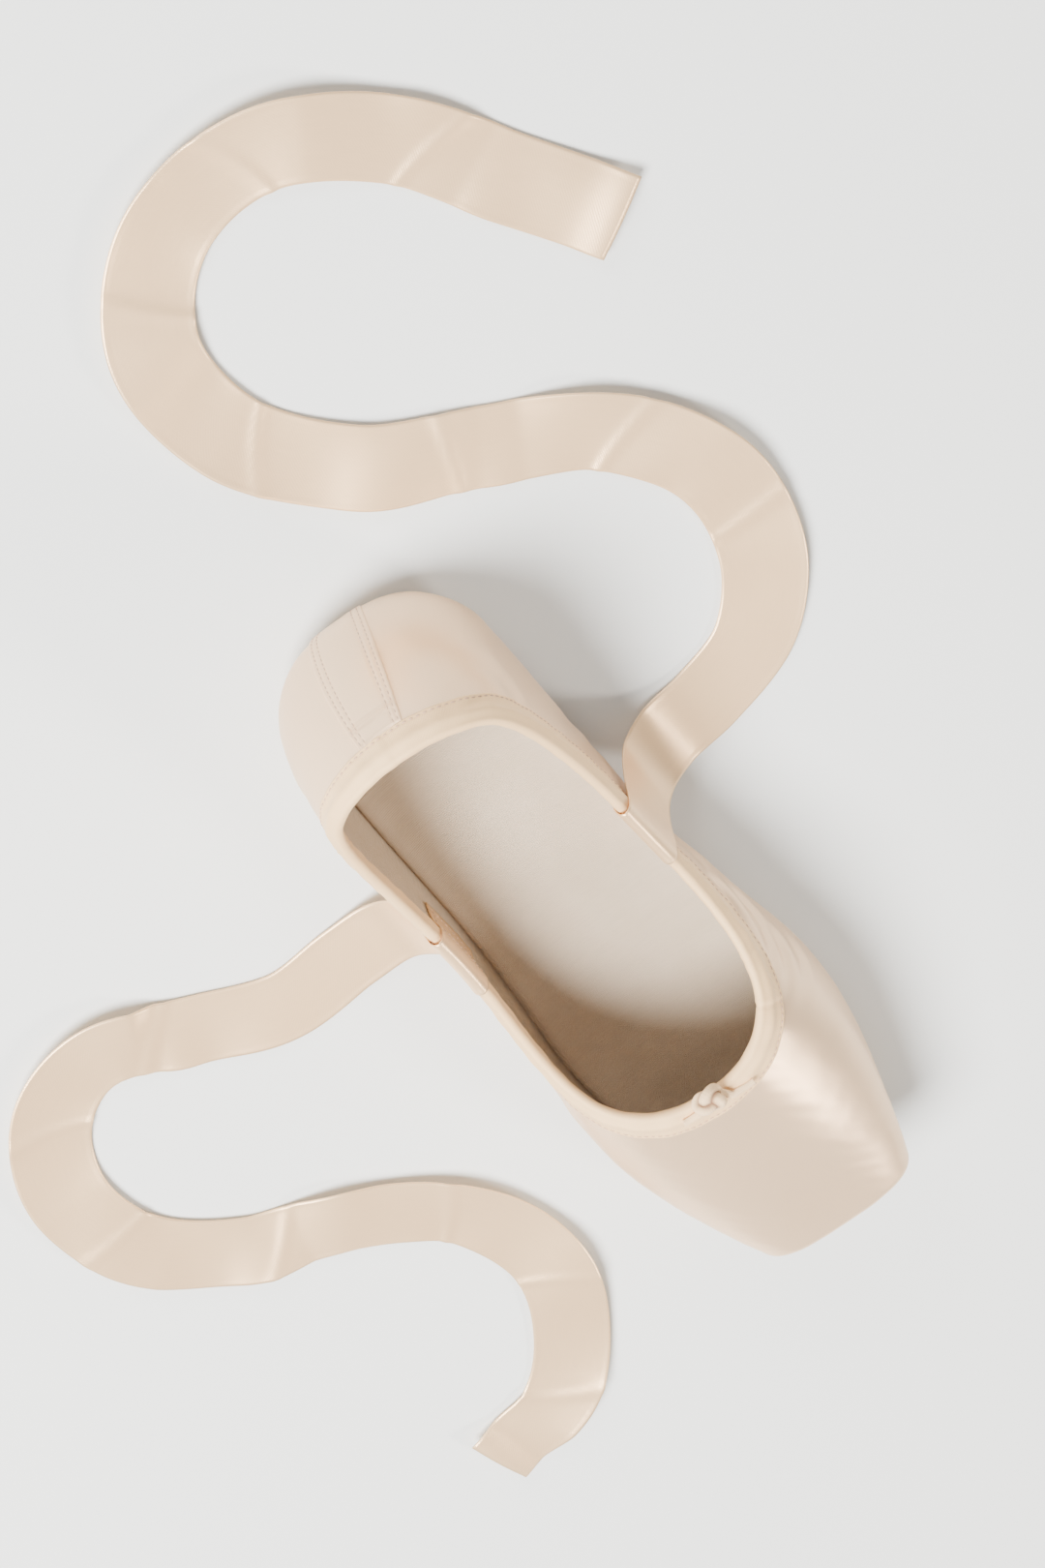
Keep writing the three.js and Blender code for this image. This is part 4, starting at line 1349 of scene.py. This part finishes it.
x = mix(np.linspace(outsole["heel"], outsole["toe"], outsole["columns"]),
        soleStations(outsole["columns"]), 0.35)
across = np.concatenate([np.linspace(-1, -0.95, 5)[:-1], np.linspace(-0.95, 0.95, 113),
                         np.linspace(0.95, 1, 5)[1:]])
acrossTop = np.linspace(0.985, -0.985, 16)
xGrid = np.broadcast_to(x[None, :], (len(across), len(x)))
yGrid = across[:, None] * soleEdgeHalf(x)[None, :]
inward = outlineDistance(xGrid, yGrid)
scoreBack, scoreFront = outsole["scoreSpan"]
scored = (ease((inward - outsole["margin"]) / 0.8) * ease((scoreFront - xGrid) / 2.5)
          * (xGrid > scoreBack))
tread = outsoleTread(xGrid, yGrid)
tread = tread + outsole["bevel"] * 0.9 * (1 - roundEnd(inward / outsole["bevel"]))
tread = tread + outsole["scoreDepth"] * scored * scoreLines(xGrid, yGrid, outsole["scoreWidth"])
for row in outsole["holeRows"]:
    tread = tread + outsole["channel"] * bump(inward, row, 0.55)
topY = acrossTop[:, None] * soleEdgeHalf(x)[None, :]
topX = np.broadcast_to(x[None, :], topY.shape)
loops = np.concatenate([np.stack([xGrid, yGrid, tread], -1),
                        np.stack([topX, topY, outsoleTop(topX, topY)], -1)])


leatherLook = {
    "low": (0.47, 0.31, 0.15), "high": (0.58, 0.40, 0.215), "mottleScale": 55.0, "mottleSpread": 0.8,
    "line": (0.15, 0.045, 0.018, 1), "lineHalf": (0.17, 0.60),  # dark to here, gone by there
    "patchScale": 330.0, "patchiness": 0.9, "leastScorch": 0.45,
    "edge": (0.27, 0.18, 0.105, 1), "edgeShare": 0.7,
    "rough": 0.62, "roughSpread": 0.15, "grainScale": 1400.0, "grain": 0.5, "grainDepth": 0.0002,
}


def leatherMaterial():
    look = leatherLook
    material, nodes, links, principled = newMaterial("tanLeather", {"Specular IOR Level": 0.3})
    coords = nodes.new("ShaderNodeTexCoord")
    tone = toned(nodes, links, coords, look)
    split = nodes.new("ShaderNodeSeparateXYZ")
    links.new(coords.outputs["Object"], split.inputs[0])
    a = calc(nodes, links, "MULTIPLY_ADD", split.outputs[0], 1000 / outsole["scoreLong"],
             -(heelX + outsole["scoreStart"]) / outsole["scoreLong"])
    b = calc(nodes, links, "MULTIPLY", split.outputs[1], 1000 / outsole["scoreWide"])
    near = []
    for operation in ("ADD", "SUBTRACT"):
        v = calc(nodes, links, operation, a, b)
        whole = calc(nodes, links, "MAXIMUM", calc(nodes, links, "ROUND", v), 0.0)
        near.append(calc(nodes, links, "ABSOLUTE", calc(nodes, links, "SUBTRACT", v, whole)))
    nearest = calc(nodes, links, "DIVIDE", calc(nodes, links, "MINIMUM", *near), perMillimetre)
    line = nodes.new("ShaderNodeMapRange")
    line.interpolation_type = "SMOOTHSTEP"
    lineSockets = ("From Min", "From Max", "To Min", "To Max")
    for socketName, value in zip(lineSockets, (*look["lineHalf"], 1.0, 0.0)):
        line.inputs[socketName].default_value = value
    links.new(nearest, line.inputs["Value"])
    patchy = noiseOf(nodes, links, coords.outputs["Object"], Scale=look["patchScale"])
    scorch = calc(nodes, links, "MULTIPLY_ADD", patchy, look["patchiness"], look["leastScorch"])
    lines = calc(nodes, links, "MULTIPLY", line.outputs[0], attributeOf(nodes, "scored"))
    lines = calc(nodes, links, "MINIMUM", calc(nodes, links, "MULTIPLY", lines, scorch), 1.0)
    colour = blended(nodes, links, "MIX", lines, tone.outputs["Color"], look["line"])
    edge = calc(nodes, links, "MULTIPLY", attributeOf(nodes, "edge"), look["edgeShare"])
    colour = blended(nodes, links, "MIX", edge, colour, look["edge"])
    links.new(colour, principled.inputs["Base Color"])
    rough = calc(nodes, links, "MULTIPLY_ADD", tone.outputs["Mask"], look["roughSpread"],
                 look["rough"])
    links.new(rough, principled.inputs["Roughness"])
    grain = noiseOf(nodes, links, coords.outputs["Object"], Scale=look["grainScale"], Detail=5.0)
    bumped(nodes, links, principled, grain, look["grain"], look["grainDepth"])
    return material


leather = cappedObject("outsoleLeather", loops, leatherMaterial(), loops[..., :2])
zeros = np.zeros(topX.shape)
setAttribute(leather, "scored", np.concatenate([scored, zeros]))
setAttribute(leather, "edge", np.concatenate([1 - ease(inward / 1.5), zeros + 1]))
ride(leather, "leather", "outsole")


def insetOutline(inset):
    # the sole's outline moved inward, both sides and round the ends
    xs = soleStations(700)
    ys = soleEdgeHalf(xs)
    ring = resampled(np.concatenate([np.stack([xs, ys], -1), np.stack([xs, -ys], -1)[::-1]]), 1600)
    direction = unit(np.roll(ring, -3, 0) - np.roll(ring, 3, 0))
    normal = np.stack([direction[:, 1], -direction[:, 0]], -1)
    moved = ring + normal * inset
    kept = moved[outlineDistance(moved[:, 0], moved[:, 1]) > inset - 0.06]
    return kept[:-8]  # the last stitch stays clear of the first


# the outsole's stitch holes: small bodies coloured with painted shade
holePaths = []
for row in outsole["holeRows"]:
    ring = insetOutline(row)
    z = outsoleTread(ring[:, 0], ring[:, 1]) + 0.06
    holePaths.append((np.column_stack([ring, z]), np.tile([0, 0, -1.0], (len(ring), 1))))
stitchRows("outsoleHoleShade", holePaths, "leather", soleHoleShade, outsole["stitch"])

# Insole
print("insole")
insole = {
    "heel": 4.5,
    "toe": 216.0,
    "toeRound": 16.0,
    "share": 0.93,         # of the width inside the walls
    "thickness": 2.0,
    "edgeRound": 1.6,
    "clearance": 0.15,
}
x = np.linspace(insole["heel"], insole["toe"], 150)
wall = wallAt(x)
half = ((sectionAt(x)[0] - wall) * insole["share"]
        * roundEnd((insole["toe"] + 2 - x) / insole["toeRound"]))
ends = np.minimum(x - insole["heel"], insole["toe"] - x)
width = np.linspace(-1, 1, 41)
loops = []
for share, isTop in [(v, 0) for v in width] + [(v, 1) for v in width[::-1]]:
    y = half * share
    roll = roundEnd(half * (1 - abs(share)) / insole["edgeRound"] + 0.05)
    roll = roll * roundEnd(ends / insole["edgeRound"] + 0.05)
    z = underside(x, y, wall) + insole["clearance"] + isTop * insole["thickness"] * roll
    loops.append(np.stack([x, y, z], -1))
loops = np.array(loops)
ride(cappedObject("insoleCloth", loops, canvas, loops[..., :2]), "lining", "insole")
